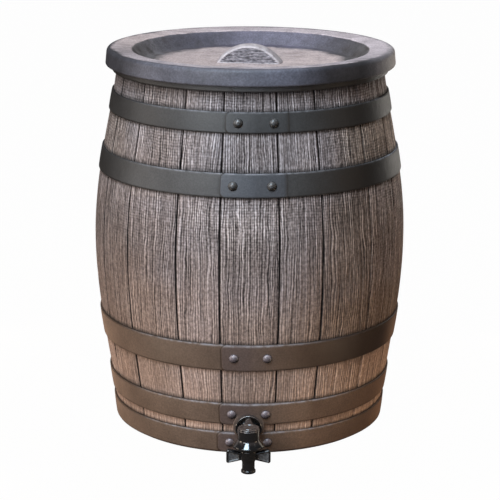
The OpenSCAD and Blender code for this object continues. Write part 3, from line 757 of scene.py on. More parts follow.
def lid_paint(finish):
    """Lid paint: slate on the upright faces, rubbed back to a pale pinkish grey on the level ones, with soft grain.

    The mesh carries how worn a place is, whether it is in the dish, the painted light and shade there as shade, cast
    and brightness, and the warmth there.
    """
    p = Paint("rubbed lid paint")
    in_dish, cast, worn = p.carried("dish"), p.carried("cast"), p.carried("worn")
    cloud = p.times(p.spots(13.0, 5.0, 0.3, 0.7, 0.70, 1.28, 0.65), p.spots(80.0, 4.0, 0.3, 0.7, 0.84, 1.16))
    slate = p.mixed(in_dish, finish.lid_slate, finish.dish_slate)
    # Painted light and shade on the slate
    slate = p.tinted(slate, p.times(cloud, p.carried("shade")))
    # The cast of the painted light: cool at the front of the side and warm at its ends, warm and dark on the sides of
    # the dish's wall as painted shade
    side_cast = p.ramp(
        p.mapped(cast, -1.0, 1.0), (0.0, (0.88, 0.94, 1.0)), (0.5, (0.95, 0.97, 1.0)), (1.0, (1.0, 0.92, 0.76))
    )
    dish_cast = p.ramp(cast, (0.0, (1.0, 0.96, 1.0)), (0.4, (0.93, 0.92, 0.88)), (1.0, (0.80, 0.76, 0.55)))
    slate = p.tinted(slate, p.mixed(in_dish, side_cast, dish_cast))
    # Painted shade in dark blotches at the sides of the dish's wall
    blotch = p.times(p.spots(55.0, 5.0, 0.48, 0.66, 0.0, 0.75, 0.7), p.times(cast, in_dish))
    slate = p.mixed(blotch, slate, finish.dish_shadow)
    grain = p.drawn(p.here, (30.0, 260.0, 60.0), 4.0, 0.6, 0.4)
    pale = p.ramp(
        p.mapped(grain, 0.28, 0.72),
        (0.0, scaled(finish.lid_pale, 0.74)), (0.5, tuple(finish.lid_pale)), (1.0, (0.48, 0.415, 0.42)),
    )
    scuff = p.spots(42.0, 5.0, 0.34, 0.58, 0.78, 1.06, 0.65)
    # bright is painted light and shade on the pale paint, with a painted highlight along the dish's mouth
    pale = p.tinted(pale, p.times(scuff, p.carried("bright")))
    pale = p.tinted(pale, p.ramp(p.carried("warm"), (0.0, (0.985, 0.985, 1.0)), (1.0, (1.0, 0.945, 0.89))))
    smear = p.times(p.spots(30.0, 6.0, 0.25, 0.75, -0.5, 0.5, 0.7), p.mapped(worn, 0.02, 0.35))
    rubbed = p.mapped(p.calc("ADD", worn, smear), 0.22, 0.80)
    colour = p.tinted(p.mixed(rubbed, slate, pale), p.spots(420.0, 3.0, 0.3, 0.7, 0.72, 1.28))
    waves = p.calc("ADD", p.noise(p.here, 70.0, 3.0), p.times(grain, 0.5))
    return p.done(colour, p.mapped(rubbed, 0.0, 1.0, 0.50, 0.70), (waves, 0.25, 0.0014), specular=0.4)


def grip_paint(finish):
    """Grip paint: level grain lines across the front face, pale rubbed edges and a pale smooth back."""
    p = Paint("rubbed grip paint")
    fleck = p.mapped(p.drawn(p.here, (160.0, 160.0, 420.0), 2.0), 0.3, 0.7, -0.28, 0.28)
    ridges = p.calc("ADD", p.carried("ridge"), fleck)
    face = p.ramp(
        p.mapped(ridges, 0.15, 0.95),
        (0.0, (0.018, 0.015, 0.018)), (0.5, (0.080, 0.069, 0.078)), (1.0, (0.34, 0.305, 0.325)),
    )
    grain = p.mapped(p.drawn(p.here, (120.0, 40.0, 120.0), 3.0), 0.3, 0.7)
    back = p.ramp(grain, (0.0, scaled(finish.lid_pale, 0.66)), (1.0, (0.44, 0.39, 0.39)))
    colour = p.mixed(p.carried("face"), back, face)
    rubbed = p.times(p.carried("edge"), p.spots(240.0, 3.0, 0.3, 0.6))
    colour = p.mixed(rubbed, colour, (0.53, 0.47, 0.475))
    return p.done(colour, 0.66, (ridges, 0.5, 0.0012))


def tap_plastic(finish):
    """Glossy black moulded plastic with a matt grain on the wings' sunk panels and a painted brown reflection of the
    barrel on the upper faces.
    """
    p = Paint("glossy black plastic")
    panel = p.carried("panel")
    fleck = p.ramp(p.spots(380.0, 2.0), (0.0, (0.010, 0.010, 0.010)), (1.0, (0.085, 0.080, 0.078)))
    colour = p.mixed(panel, finish.black, fleck)
    # A painted reflection of the brown barrel on the faces that look up, above the bell
    upright = p.part(put(p.tree, "NewGeometry").outputs["Normal"], "Z")
    dust_and_reflection = p.times(p.spots(240.0, 3.0, 0.3, 0.7, 0.35, 0.8), p.mapped(upright, 0.05, 0.75))
    dust_and_reflection = p.times(dust_and_reflection, p.mapped(p.part(p.here, "Z"), 0.040, 0.048))
    colour = p.mixed(dust_and_reflection, colour, finish.dust_and_reflection)
    gloss = p.calc("MULTIPLY_ADD", dust_and_reflection, 0.16, p.spots(55.0, 3.0, 0.3, 0.7, 0.06, 0.13))
    rough = p.mapped(p.calc("ADD", gloss, p.times(panel, 0.42)), 0.0, 1.0)
    grain = p.times(p.noise(p.here, 1500.0, 2.0), p.mapped(panel, 0.0, 1.0, 0.12, 1.0))
    waves = p.calc("MULTIPLY_ADD", p.noise(p.here, 150.0, 2.0), 4.0, grain)
    return p.done(colour, rough, (waves, 0.2, 0.0003), specular=0.85)


def gasket_rubber(finish):
    """Matt black rubber with a fine dusty speckle."""
    p = Paint("gasket rubber")
    dust_and_reflection = p.spots(900.0, 3.0, to_low=0.7, to_high=1.5)
    return p.done(p.tinted(finish.rubber, dust_and_reflection), p.mapped(dust_and_reflection, 0.7, 1.5, 0.62, 0.78), (dust_and_reflection, 0.2, 0.0002))


def spring_steel(finish):
    """Plain spring steel with fine brushed lines round it."""
    p = Paint("spring steel")
    brushed = p.drawn(p.here, (300.0, 300.0, 4000.0), 2.0)
    colour = p.tinted(finish.steel, p.mapped(brushed, 0.3, 0.7, 0.8, 1.1))
    return p.done(colour, p.mapped(brushed, 0.3, 0.7, 0.24, 0.4), metallic=1.0)


# The wall


def wall_radius(height, sizes):
    """Outer radius of the wall: a squared sine, upright at the bulge and again one swell away from it."""
    bulge, swell, middle = in_mm(sizes, "bulge_height", "swell", "bulge_radius")
    height = np.asarray(height, float)
    end = np.where(height < bulge, sizes.base_radius / MM, sizes.rim_radius / MM)
    reach = np.where(height < bulge, bulge, sizes.height / MM - bulge)
    share = np.sin(0.5 * math.pi * (height - bulge) / swell) ** 2 / np.sin(0.5 * math.pi * reach / swell) ** 2
    return middle - (middle - end) * share


def stave_angles(sizes):
    """Angle of each stave from the front one round to the right: the narrow ones share what the others leave."""
    angles = np.empty(2 * sizes.pairs)
    taken = sizes.front_angle + 2 * sizes.near_angle + (sizes.pairs - 1) * sizes.wide_angle
    angles[0::2] = sizes.wide_angle
    angles[1::2] = (360.0 - taken) / (sizes.pairs - 2)
    angles[0] = sizes.front_angle
    angles[[1, -1]] = sizes.near_angle
    return np.radians(angles)


def stave_columns(sizes):
    """Angle, distance across its stave, distance to the nearest groove and stave number of each mesh column."""
    radius = sizes.bulge_radius / MM
    bank = np.array(GROOVE_BANK)
    parts = []
    angles = stave_angles(sizes)
    start = math.radians(FRONT) - angles[0] / 2
    for stave, angle in enumerate(angles):
        count = sizes.narrow_columns if stave % 2 else sizes.wide_columns
        width = angle * radius
        inner = np.linspace(bank[-1], width - bank[-1], count + 2)[1:-1]
        across = np.concatenate([bank, inner, (width - bank[1:])[::-1]])
        groove = np.minimum(across, width - across)
        parts.append(np.stack([start + across / radius, across, groove, np.full(len(across), stave)]))
        start += angle
    return np.concatenate(parts, axis=1)


def hoop_edges():
    """Lower and upper edges of all the hoops, in order up the barrel."""
    return [node_heights(name) for name, _, _ in (*LAPPED_HOOPS, RIM_LAP)]


def wall_rows(sizes):
    """Heights up the outside and, for each, how much grain it carries: full in the open, none behind a hoop."""
    spacing, tuck, overlap = 5.6, 1.6, 0.4
    heights, grain = [np.array([sizes.foot / MM])], [np.zeros(1)]
    edges = hoop_edges()
    for k, (low, high) in enumerate(edges):
        heights.append(np.array([low + tuck, high - tuck]))
        grain.append(np.zeros(2))
        if k + 1 < len(edges):
            following = edges[k + 1][0]
            count = max(4, int(round((following - high) / spacing)) + 1)
            heights.append(np.linspace(high - overlap, following + overlap, count))
            grain.append(np.ones(count))
    return np.concatenate(heights), np.concatenate(grain)


def oak_grain(across, height, stave):
    """Warped distance across the grain and the depth of the crevices, from 0 to 1.

    Each stave's lines lean and wander by noise; crevices lie along the middle level of two noise fields that are
    drawn out along the stave, broad ones every 8 mm or so and fine ones every 4 mm.
    """
    lean = (np.random.default_rng(5).random(STAVE_DRAWS) - 0.5)[stave.astype(int)] * 0.03
    wander = 7.0 * (noise(height / 160 + 11 * stave, across / 70 + 5 * stave, 1) - 0.5)
    wander = wander + 1.5 * (noise(height / 28 + 3 * stave, across / 11 + 7 * stave, 2) - 0.5)
    warped = across + lean * (height - 240.0) + wander
    broad = lines(noise(warped / 6.5 + 19 * stave, height / 230 + 2.3 * stave, 3))
    thin = lines(noise(warped / 3.3 + 23 * stave, height / 110 + 1.7 * stave, 4))
    open_part = noise(warped / 24 + 3 * stave, height / 110 + 13 * stave, 6)
    crevice = smooth(broad, 0.74, 1.0) * (0.35 + 0.65 * open_part)
    return warped, np.clip(0.32 * crevice + 0.72 * smooth(thin, 0.50, 1.0), 0.0, 1.0)


def wall_light_and_shade(swing, tall):
    """Painted light and shade on the wall's paint, as the product of 1 + patch for soft patches by swing and height.

    It is paler at the foot and at the sides of the top, with a painted highlight in the middle of the front.
    """
    facing = in_view(swing)
    aside = smooth(np.abs(swing), 10.0, 28.0)
    right, left = smooth(swing, 15.0, 40.0) * facing, smooth(-swing, 12.0, 40.0) * facing
    low = 0.04 + 0.24 * aside + 0.08 * right - 0.12 * left
    patches = (
        low * ebb(tall, 120.0, 150.0) + (0.20 - 0.08 * left) * ebb(tall, 50.0, 75.0),
        -0.08 * (1 - aside) * band(tall, 325.0, 345.0, 395.0, 405.0),
        0.12 * aside * smooth(tall, 290.0, 340.0) + 0.16 * right * smooth(tall, 330.0, 370.0),
        0.13 * left * smooth(tall, 275.0, 310.0) + 0.14 * right * smooth(tall, 400.0, 425.0),
        -0.10 * right * band(tall, 125.0, 150.0, 195.0, 240.0),
        0.32 * smooth(-swing, 50.0, 75.0) * facing * ebb(tall, 115.0, 150.0),
        -(0.18 * smooth(swing, 28.0, 55.0) * facing + 0.08 * bump(swing, 0.0, 12.0)) * lower_band(tall),
        -0.25 * smooth(-swing, 46.0, 72.0) * facing * band(tall, 235.0, 265.0, 405.0, 415.0),
        (0.2 * bump(swing, 33.0, 7.0) - 0.2 * bump(swing, -41.0, 12.0)) * band(tall, 62.0, 75.0, 112.0, 125.0),
        (0.16 * bump(swing, -15.0, 5.0) - 0.26 * bump(swing, 38.0, 8.0)) * band(tall, 272.0, 298.0, 318.0, 330.0),
        0.62 * front_highlight(swing, tall),
    )
    return np.prod([1 + patch for patch in patches], axis=0)


def lower_band(tall):
    """The lower part of the wall between the two bulge hoops."""
    return band(tall, 118.0, 130.0, 165.0, 225.0)


def front_highlight(swing, tall):
    """A painted highlight under the upper bulge hoop, a bump both ways."""
    return bump(swing, 0.0, 17.0) * bump(tall, 303.0, 30.0)


def wall_light_cast(swing, tall):
    """Cast of the painted light on the wall's paint, with a cool painted sheen at the front, as a sum of soft patches
    by swing and height: -2 is brown and 1 is a cool grey.
    """
    facing = in_view(swing)
    middle_band = band(tall, 195.0, 235.0, 318.0, 330.0)
    brown_top = 1.35 * smooth(swing, 28.0, 45.0) + 0.9 * smooth(-swing, 50.0, 65.0)
    return sum(
        (
            front_highlight(swing, tall),
            -smooth(np.abs(swing), 12.0, 45.0) * (1 - 0.4 * smooth(tall, 280.0, 340.0)),
            -brown_top * facing * band(tall, 345.0, 365.0, 412.0, 425.0),
            -1.2 * smooth(swing, -25.0, 8.0) * facing * lower_band(tall),
            -0.9 * smooth(swing, -8.0, 12.0) * facing * ebb(tall, 108.0, 125.0),
            0.5 * ebb(np.abs(swing + 15.0), 25.0, 45.0) * middle_band,
            -0.7 * bump(swing, 38.0, 13.0) * middle_band,
            0.35 * ebb(np.abs(swing), 24.0, 36.0) * band(tall, 330.0, 345.0, 408.0, 418.0),
            0.9 * smooth(-swing, 12.0, 40.0) * facing * ebb(tall, 60.0, 85.0),
        )
    )


def wall_ends(sizes):
    """Profiles of radius and height: the base from its middle out, and the inside from the rim down to its middle."""
    top, rim, wall, floor, foot = in_mm(sizes, "height", "rim_radius", "wall", "floor", "foot")
    rim_inset, foot_inset = 0.4, 0.6
    over = fillet(
        [[rim - rim_inset, top - 3.0], [rim - rim_inset, top], [rim - wall, top], [rim - wall, top - 12.0]],
        [1.4, 1.4], 3,
    )
    levels = np.array([430.0, 372.0, 308.0, 243.0, 178.0, 114.0, 52.0, 16.0])
    inner = np.stack([wall_radius(levels, sizes) - wall, levels], axis=1)
    ground = fillet([inner[-1], [wall_radius(floor, sizes) - wall, floor], [0.0, floor]], [8.0], 3)[1:]
    ring = wall_radius(foot, sizes) - foot_inset
    under = np.array([[0.0, 0.0], [ring - 20.0, 0.0], [ring - foot, 0.0]])
    return under, np.concatenate([over, inner, ground])


def hoop_marks(height):
    """Brown spray below the brown hoops, and painted shade just below the others, above all hoops and under the rim.
    """
    far = 1e3
    edges = hoop_edges()
    under = np.stack([np.where(height <= low + 1, low - height, far) for low, _ in edges])
    over = np.min(np.stack([np.where(height >= high - 1, height - high, far) for _, high in edges]), axis=0)
    spray = ebb(np.min(under[: len(BROWN_HOOPS)], axis=0), -0.5, 7.5)
    shade_and_seams = np.maximum((1 - spray) * ebb(np.min(under, axis=0), -0.5, 3.0), ebb(over, 1.0, 2.8))
    return spray, np.maximum(shade_and_seams, 0.6 * smooth(height, edges[-2][1], edges[-1][0]))


def build_wall(sizes, finish):
    """The whole moulding in one closed skin: base, grained outside, rim, plain inside and floor.

    Rows run up the outside, over the rim and down the inside. Outside, radius = wall radius - groove - grain depth.
    """
    angle, across, groove, stave = stave_columns(sizes)
    height, share = wall_rows(sizes)
    tall, wide, which = height[:, None], across[None, :], stave.astype(int)
    open_share = share[:, None]
    warped, crevice = oak_grain(wide, tall, stave[None, :])
    rng = np.random.default_rng(11)
    lift = rng.random(STAVE_DRAWS)[which] * 0.35
    # Each stave's own tone, drawn at random, with painted light and shade on the staves at the front
    tones_and_light, strengths = 0.84 + 0.16 * rng.random(STAVE_DRAWS), 0.80 + 0.2 * rng.random(STAVE_DRAWS)
    tones_and_light[list(STAVE_LIGHT)], strengths[list(STAVE_GRAIN)] = list(STAVE_LIGHT.values()), list(STAVE_GRAIN.values())
    bank = np.interp(groove, [*GROOVE_BANK, GROOVE_END], GROOVE_SHARE) * sizes.seam_depth / MM
    hollow = 0.35 * noise(tall / 60 + 2 * stave, wide / 30 + 9 * stave, 8)
    depth = bank + lift + open_share * (crevice * sizes.grain_depth / MM + hollow) + (1 - open_share) * 0.6
    side = round_axis(wall_radius(tall, sizes) - depth, angle, tall)
    shape = side.shape[:2]
    under, inside = wall_ends(sizes)
    ends = [round_axis(profile[:, :1], angle, profile[:, 1:]) for profile in (under, inside)]
    points = np.concatenate([ends[0], side, ends[1]])

    def everywhere(outside, plain):
        """A value on the whole skin: given outside, plain on the base and inside."""
        low, high = (np.full(end.shape[:2] + outside.shape[2:], plain) for end in ends)
        return spread(np.concatenate([low, outside, high]), True, True)

    swing = front_swing(angle)
    # Painted light on the grooves: their dark paint is left faint on the right, where they catch the light
    faint = band(swing, 42.0, 47.0, 85.0, 95.0)
    # A painted highlight on each groove's lit bank, raised into the relief that pales the grain
    lip = np.where(across < 8.0, np.interp(groove, [1.6, 2.2, 3.4, 4.6], [0.0, 0.9, 0.9, 0.0]), 0.0)
    deep = np.clip(crevice - lip + np.interp(groove, [0.0, 1.2, 1.9], [1.6, 0.9, 0.0]), -0.9, 1.0)
    spray, shade_and_seams = hoop_marks(height)
    seam_dark = np.interp(groove, [0.0, 0.95, 1.4], [1.0, 0.75, 0.0]) * (1 - 0.6 * faint)
    bold = np.interp(tall, [60.0, 130.0, 220.0, 300.0, 400.0], [0.52, 0.74, 0.87, 0.98, 0.95])
    values = {
        "relief": (1 - deep, 0.5),
        "tone": (tones_and_light[which] * wall_light_and_shade(swing, tall), 1.0),
        "bold": (bold * strengths[which], 0.8),
        "spray": (spray[:, None], 0.0),
        "cast": (wall_light_cast(swing, tall), 0.0),
        "shade_and_seams": (np.maximum(shade_and_seams[:, None], seam_dark), 0.0),
    }
    attributes = {
        label: everywhere(np.broadcast_to(outside, shape), plain) for label, (outside, plain) in values.items()
    }
    places = np.stack(np.broadcast_arrays(warped * MM, tall * MM, stave * STAVE_STEP), axis=-1)
    attributes["place"] = everywhere(places, 0.0)
    made = piece(
        "oak_grained_wall", closed(points), "barrel", ["barrel_shell"],
        [oak_paint(finish), raw_plastic(finish), groove_shade(finish)], attributes,
    )
    outside_rows = len(under) + len(side) - 2
    kinds = np.zeros((len(points) - 3, len(angle)), np.int32)
    kinds[outside_rows:] = 1
    kinds[len(under) : outside_rows, (0.5 * (groove + np.roll(groove, -1)) < 0.8) & (faint < 0.5)] = 2
    fans = np.repeat(np.array([0, 1], np.int32), len(angle))
    made.data.polygons.foreach_set("material_index", np.concatenate([kinds.ravel(), fans]))
    return made


# Hoops


def hoop_columns(radius, left, right, corner):
    """Angles round a hoop, close together where the lap ends, in order from the back of the barrel."""
    plain = np.linspace(-180.0, 180.0, 300, endpoint=False)
    step, margin = 0.45, 1.2
    crowded = np.concatenate(
        [np.arange(left - margin, left + corner + 0.8, step), np.arange(right - margin, right + margin, step)]
    )
    crowded = np.degrees(crowded / radius)
    apart = np.min(np.abs(plain[:, None] - crowded[None, :]), axis=1) > 0.18
    return np.sort(np.concatenate([plain[apart], crowded]))


def hoop_section(slant, edge, thickness):
    """Distance up the band and rise over it along a hoop's section, a flat with round edges sunk in the wall."""
    sunk, count = 2.4, 22
    quarter = np.linspace(0.0, 0.5 * math.pi, 5)
    sine, cosine = edge * np.sin(quarter), edge * np.cos(quarter)
    flat = np.linspace(edge, slant - edge, count)
    run = np.concatenate([[0.0], edge - cosine[:-1], flat, slant - edge + sine[1:], [slant]])
    root = [-sunk - thickness]
    return run, np.concatenate([root, -edge + sine[:-1], np.zeros(count), -edge + cosine[1:], root])


def hoop_shadow(name, swing):
    """Painted shade on a hoop's face: a patch on the right, fainter ones on some hoops and the slate hoops' left
    ends.
    """
    shadow = RIGHT_SHADOW.get(name, 0.0) * band(swing, *SHADOW_RANGE.get(name, PLAIN_SHADOW_RANGE))
    if name == "lower_bulge_hoop":
        shadow = shadow + 0.2 * bump(swing, -28.0, 16.0)
    if name == "upper_hoop":
        shadow = shadow + 0.06 + 0.26 * bump(swing, 0.0, 15.0)
    if name not in BROWN_HOOPS:
        shadow = shadow + 0.72 * smooth(-swing, 44.0, 74.0)
    return shadow * in_view(swing)


def hoop_painted_light(name, swing, facing):
    """Painted light on a hoop's paint, as how much paler it is: towards both ends that show, and a little on some
    hoops' sides.
    """
    brown = name in BROWN_HOOPS
    right_end, left_end = BROWN_END_LIGHT if brown else SLATE_END_LIGHT
    start, full = (56.0, 84.0) if brown else (46.0, 80.0)
    painted_light = right_end * smooth(swing, start, full) + left_end * smooth(-swing, 46.0, 82.0)
    if name in ("lower_hoop", "base_hoop"):
        painted_light = painted_light + 0.16 * smooth(swing, 5.0, 30.0)
    painted_light = painted_light * facing + 0.05 * brown
    if name == "upper_bulge_hoop":
        painted_light = painted_light + 0.5 * bump(swing, -38.0, 18.0)
    return painted_light


def build_hoop(name, sizes, wall, material, shift, rivet_span, thickness, lap):
    """A hoop as a closed band carried round the wall, thicker by the lap between the lap's two ends.

    Across the band the section is a flat with round edges. The lap's left end has round corners: its distance field
    is that of a round-cornered rectangle, and its right end is a plain soft step.
    """
    brown = name in BROWN_HOOPS
    low, high = node_heights(name)
    radius_low, radius_high = wall_radius(np.array([low, high]), wall)
    slant = math.hypot(radius_high - radius_low, high - low)
    along = np.array([radius_high - radius_low, high - low]) / slant
    out = np.array([along[1], -along[0]])
    face_radius = 0.5 * (radius_low + radius_high) + thickness
    edge, tail, lap_end, corner = in_mm(sizes, "edge", "lap_tail", "lap_end", "lap_corner")
    half = rivet_span / 2 + lap_end + tail / 2
    shift = shift + tail / 2
    swing = hoop_columns(face_radius, shift - half, shift + half, corner)
    arc = np.radians(swing) * face_radius
    run, rise = hoop_section(slant, edge, thickness)
    on_face = rise > -edge - 0.01

    x = np.abs(arc - shift)[None, :] - half + corner
    left_side = (arc < shift)[None, :]
    y = np.abs(run - slant / 2)[:, None] - slant / 2 + corner
    round_end = np.hypot(np.maximum(x, 0.0), np.maximum(y, 0.0)) - corner
    round_end = np.where((x > 0) & (y > 0), round_end, np.maximum(x, np.minimum(y, 0.0)) - corner)
    square_end = np.abs(arc - shift)[None, :] - half + 0 * y
    distance = np.where(left_side, np.where(x > 0, round_end, -corner), square_end)
    slope = 14.0 if brown else 2.5
    raised = np.where(left_side, smooth(-distance, -0.35, 0.35), 0.8 * smooth(-square_end, -0.6, slope))
    ripple = 0.22 * (ring_noise(np.radians(swing), 46, 21)[None, :] - 1.0)
    crown = 0.25 * (1 - ((run - slant / 2) / (slant / 2)) ** 2)[:, None]
    lifted = rise[:, None] + np.where(on_face[:, None], thickness + lap * raised + ripple + crown, thickness)
    spot = np.array([radius_low, low]) + run[:, None, None] * along + lifted[:, :, None] * out
    points = round_axis(spot[..., 0], np.radians(swing + FRONT), spot[..., 1])

    facing = ebb(np.abs(swing), 100.0, 150.0)
    # upper_share is where the pale upper edge shows: a painted highlight at the front, partly wear
    upper_share, tint = ebb(np.abs(swing), 20.0, 60.0), raised * LAP_TINT.get(name, 1.0)
    lower = np.where(on_face, ebb(run, 0.1, 2.4), 0.0)[:, None]
    # Painted shadow along the lower edge and at the lap's left end, added to the painted shade on the face
    end_line = np.where(left_side, np.exp(-((distance - 0.8) ** 2) / 0.8), 0.0)
    shadow = lower + end_line * (arc[None, :] < shift - half + 0.9 * corner) + hoop_shadow(name, swing)
    if brown:
        tint = tint * ebb(arc - shift, -0.3 * half, half)
        # Warmer painted light on the right
        hue = 0.9 * smooth(swing, 0.0, 30.0) * facing
        # Painted shadow along the upper edge and on the top face of the brown hoops
        top_line = np.where(on_face, smooth(run, slant - 2.4, slant - 0.6), 0.0)[:, None]
        top_face = np.where(run > slant - 0.05, 1.0, 0.0)[:, None] * smooth(np.abs(swing), 8.0, 30.0)
        shadow = shadow + np.maximum(0.8 * top_line * smooth(np.abs(swing), 35.0, 60.0), top_face)
    else:
        # The painted highlight on the slate hoops' upper edge reaches round the right side
        upper_share = np.maximum(upper_share, 1.15 * smooth(swing, 15.0, 40.0) * facing)
        # Cooler painted light at the front of the upper hoop
        hue = -0.8 * ebb(np.abs(swing - 5.0), 25.0, 42.0) * (name == "upper_hoop")
        # Painted shadow at the lap's right step
        shadow = shadow + np.where(left_side, 0.0, 0.35 * np.exp(-((square_end - 1.6) ** 2) / 3.0))
    values = {
        "painted_light": hoop_painted_light(name, swing, facing),
        "hue": hue,
        "upper_edge": np.where(on_face, smooth(run, slant - 2.6, slant - 0.2), 0.0)[:, None] * upper_share,
        "painted_shadow": np.clip(shadow, 0.0, 1.0),
        "lap": tint,
    }
    attributes = {label: spread(np.broadcast_to(value, points.shape[:2])) for label, value in values.items()}
    return piece("painted_" + name, skin(points, ring_rows=True), "barrel", [name], [material], attributes)


def build_rivets(sizes, wall, material):
    """Ten domed heads, each turned about the hoop's own normal: height = h (1 - (r / R) ^ 2.2) ^ 0.66."""
    thickness = (sizes.thickness + sizes.lap) / MM
    big, tall = in_mm(sizes, "rivet_radius", "rivet_height")
    share = np.array([1.0, 1.0, 0.97, 0.9, 0.8, 0.68, 0.54, 0.38, 0.2, 0.0])
    rise = tall * (1 - share**2.2) ** 0.66
    rise[0] = -1.2
    turn = full_turn(RIVET_COLUMNS)
    skins, crowns, uppers = [], [], []
    for hoop, (name, shift, span) in enumerate(LAPPED_HOOPS):
        low, high = node_heights(name)
        radius_low, radius_high = wall_radius(np.array([low, high]), wall)
        lean = math.atan2(radius_high - radius_low, high - low)
        face = 0.5 * (radius_low + radius_high) + thickness / math.cos(lean)
        for side in (-1, 1):
            where = math.asin((shift + side * span / 2) / face)
            wobble = 1 + 0.05 * (ring_noise(turn, 4, 40 + 2 * hoop + side) - 0.5)
            across = big * share[:, None] * np.cos(turn) * wobble
            up = big * share[:, None] * np.sin(turn) * wobble
            out = face + np.broadcast_to(rise[:, None], across.shape) * math.cos(lean) + up * math.sin(lean)
            level = 0.5 * (low + high) + up * math.cos(lean) - rise[:, None] * math.sin(lean)
            x = across * math.cos(where) + out * math.sin(where)
            y = across * math.sin(where) - out * math.cos(where)
            skins.append(skin(np.stack([x, y, level], axis=-1), pole_last=True))
            crowns.append(spread(np.broadcast_to((rise / tall)[:, None], across.shape), pole_last=True))
            uppers.append(spread((up - 0.4 * across) / big, pole_last=True))
    attributes = {"crown": np.clip(np.concatenate(crowns), 0.0, 1.0), "upper": np.concatenate(uppers)}
    return piece("rivet_heads", joined(*skins), "barrel", ["hoop_rivets"], [material], attributes)


# Lid


def lid_shade(swing, dish):
    """Painted light and shade on the lid's slate paint: darker places on the side, partly smoky paint and partly
    painted shade, a painted lit right end, and lighter and darker patches on the dish's wall.

    The dish's wall shows at the back, so its places are in degrees from the back, positive to the right.
    """
    # Darker places on the side: painted shade at the left end, and right of the front smoky paint with painted shade
    smoke_and_shade = 0.68 * smooth(-swing, 36.0, 66.0) + 0.86 * band(swing, 13.0, 33.0, 46.0, 60.0)
    # The rubbed places are painted light: the side's lit right end and two small lit patches at the front
    rubbed = 3.2 * smooth(swing, 54.0, 84.0) + 0.2 * bump(swing, -34.0, 9.0) + 0.15 * bump(swing, 0.0, 7.0)
    side = 1.0 + ebb(np.abs(swing), 95.0, 140.0) * (0.19 + rubbed - smoke_and_shade)
    back = np.sign(swing) * (180.0 - np.abs(swing))
    # Painted light and shade on the dish's wall: lighter and darker patches
    wall = 0.97 - 0.18 * band(-back, 14.0, 24.0, 44.0, 56.0) - 0.2 * bump(back, 56.0, 8.0)
    wall = wall + 0.2 * bump(back, 33.0, 11.0) + 0.4 * band(-back, 50.0, 68.0, 85.0, 110.0)
    wall = wall + 0.35 * band(back, 62.0, 78.0, 85.0, 110.0)
    return np.where(dish, wall, side)


def build_lid(sizes, finish):
    """The lid turned in one closed profile: dish, broad rim, skirt and underside, with a slight moulded wobble."""
    top, thick, skirt_thick, fall = in_mm(sizes, "top", "thickness", "skirt_thickness", "rim_fall")
    radius, top_radius, edge = in_mm(sizes, "radius", "top_radius", "edge")
    mouth, floor_radius = in_mm(sizes, "dish_radius", "dish_floor_radius")
    floor = top - sizes.dish_depth / MM
    under, skirt = top - thick, top - sizes.skirt / MM
    corners = [
        [0.0, floor - thick], [floor_radius + thick, floor - thick], [mouth + thick, under],
        [top_radius - skirt_thick, under], [radius - skirt_thick, skirt], [radius, skirt],
        [top_radius, top], [mouth, top - fall], [floor_radius, floor], [0.0, floor],
    ]
    profile = fine(fillet(corners, [5.0, 3.0, 2.0, 1.2, 2.0, edge, 9.0, 9.0], 6), 6.0)
    points, angle = turned(profile, LID_COLUMNS), full_turn(LID_COLUMNS)
    away, rise = profile[:, 0], profile[:, 1]
    outer = smooth(away, floor_radius - 4.0, floor_radius + 2.0)[:, None]
    dent = outer * (0.55 * (ring_noise(angle, 15, 31) - 1.0) + 0.35 * (ring_noise(angle, 44, 32) - 1.0))
    points += round_axis(dent, angle, 0.0)

    upper_side = rise > floor - 1.0
    level = smooth(upward(profile), 0.80, 0.985) * upper_side
    level *= 1 - smooth(away, floor_radius - 34.0, floor_radius - 1.0) * (away < 0.5 * (floor_radius + mouth))
    level *= ebb(away, top_radius - 8.5, top_radius - 2.5)
    on_rim = smooth(away, mouth - 4.0, mouth)[:, None]
    rubbed_side = 0.5 + 0.5 * np.cos(angle - math.radians(100.0))
    worn = level[:, None] * (1 - on_rim * (0.30 - 0.30 * smooth(rubbed_side, 0.1, 0.7)))
    dish = np.broadcast_to(((away < mouth + 2.0) & upper_side)[:, None], worn.shape)
    swing = front_swing(angle)
    # Painted light and shade on the pale rim: darker left of the front and a little right of it, lighter at the back
    # right
    ring = 1 - 0.34 * bump(swing, -76.0, 26.0) + 0.12 * bump(swing, 130.0, 40.0) - 0.15 * bump(swing, 33.0, 12.0)
    # A painted highlight along the dish's mouth, strongest at the front left
    lip = bump(away, mouth, 2.4)[:, None] * (0.10 + 0.22 * bump(swing, -35.0, 40.0))
    aside, on_left = np.abs(np.cos(angle)), swing < 0.0
    # Cast of the painted light on the side: warm at its ends, most on the right, and cool just right of the front
    side_cast = aside**1.6 * np.where(on_left, 0.35, 1.0) - 0.9 * bump(swing, 14.0, 14.0)
    values = {
        "worn": worn,
        "dish": dish.astype(float),
        "shade": lid_shade(swing, dish),
        # In the dish the cast warms and darkens the wall's sides as painted shade
        "cast": np.where(dish, aside ** np.where(on_left, 1.1, 1.7), side_cast),
        # Painted light and shade on the pale paint: the rim's ring, the mouth's highlight and a floor lighter on the
        # right
        "bright": on_rim * ring + (1 - on_rim) * (1 + 0.10 * np.cos(angle)) + lip,
        "warm": on_rim * bump(swing, -112.0, 40.0) + (1 - on_rim) * (0.6 + 0.4 * aside),
    }
    attributes = {label: spread(value, True, True) for label, value in values.items()}
    return piece("rubbed_lid", closed(points), "lid", ["lid"], [lid_paint(finish)], attributes)


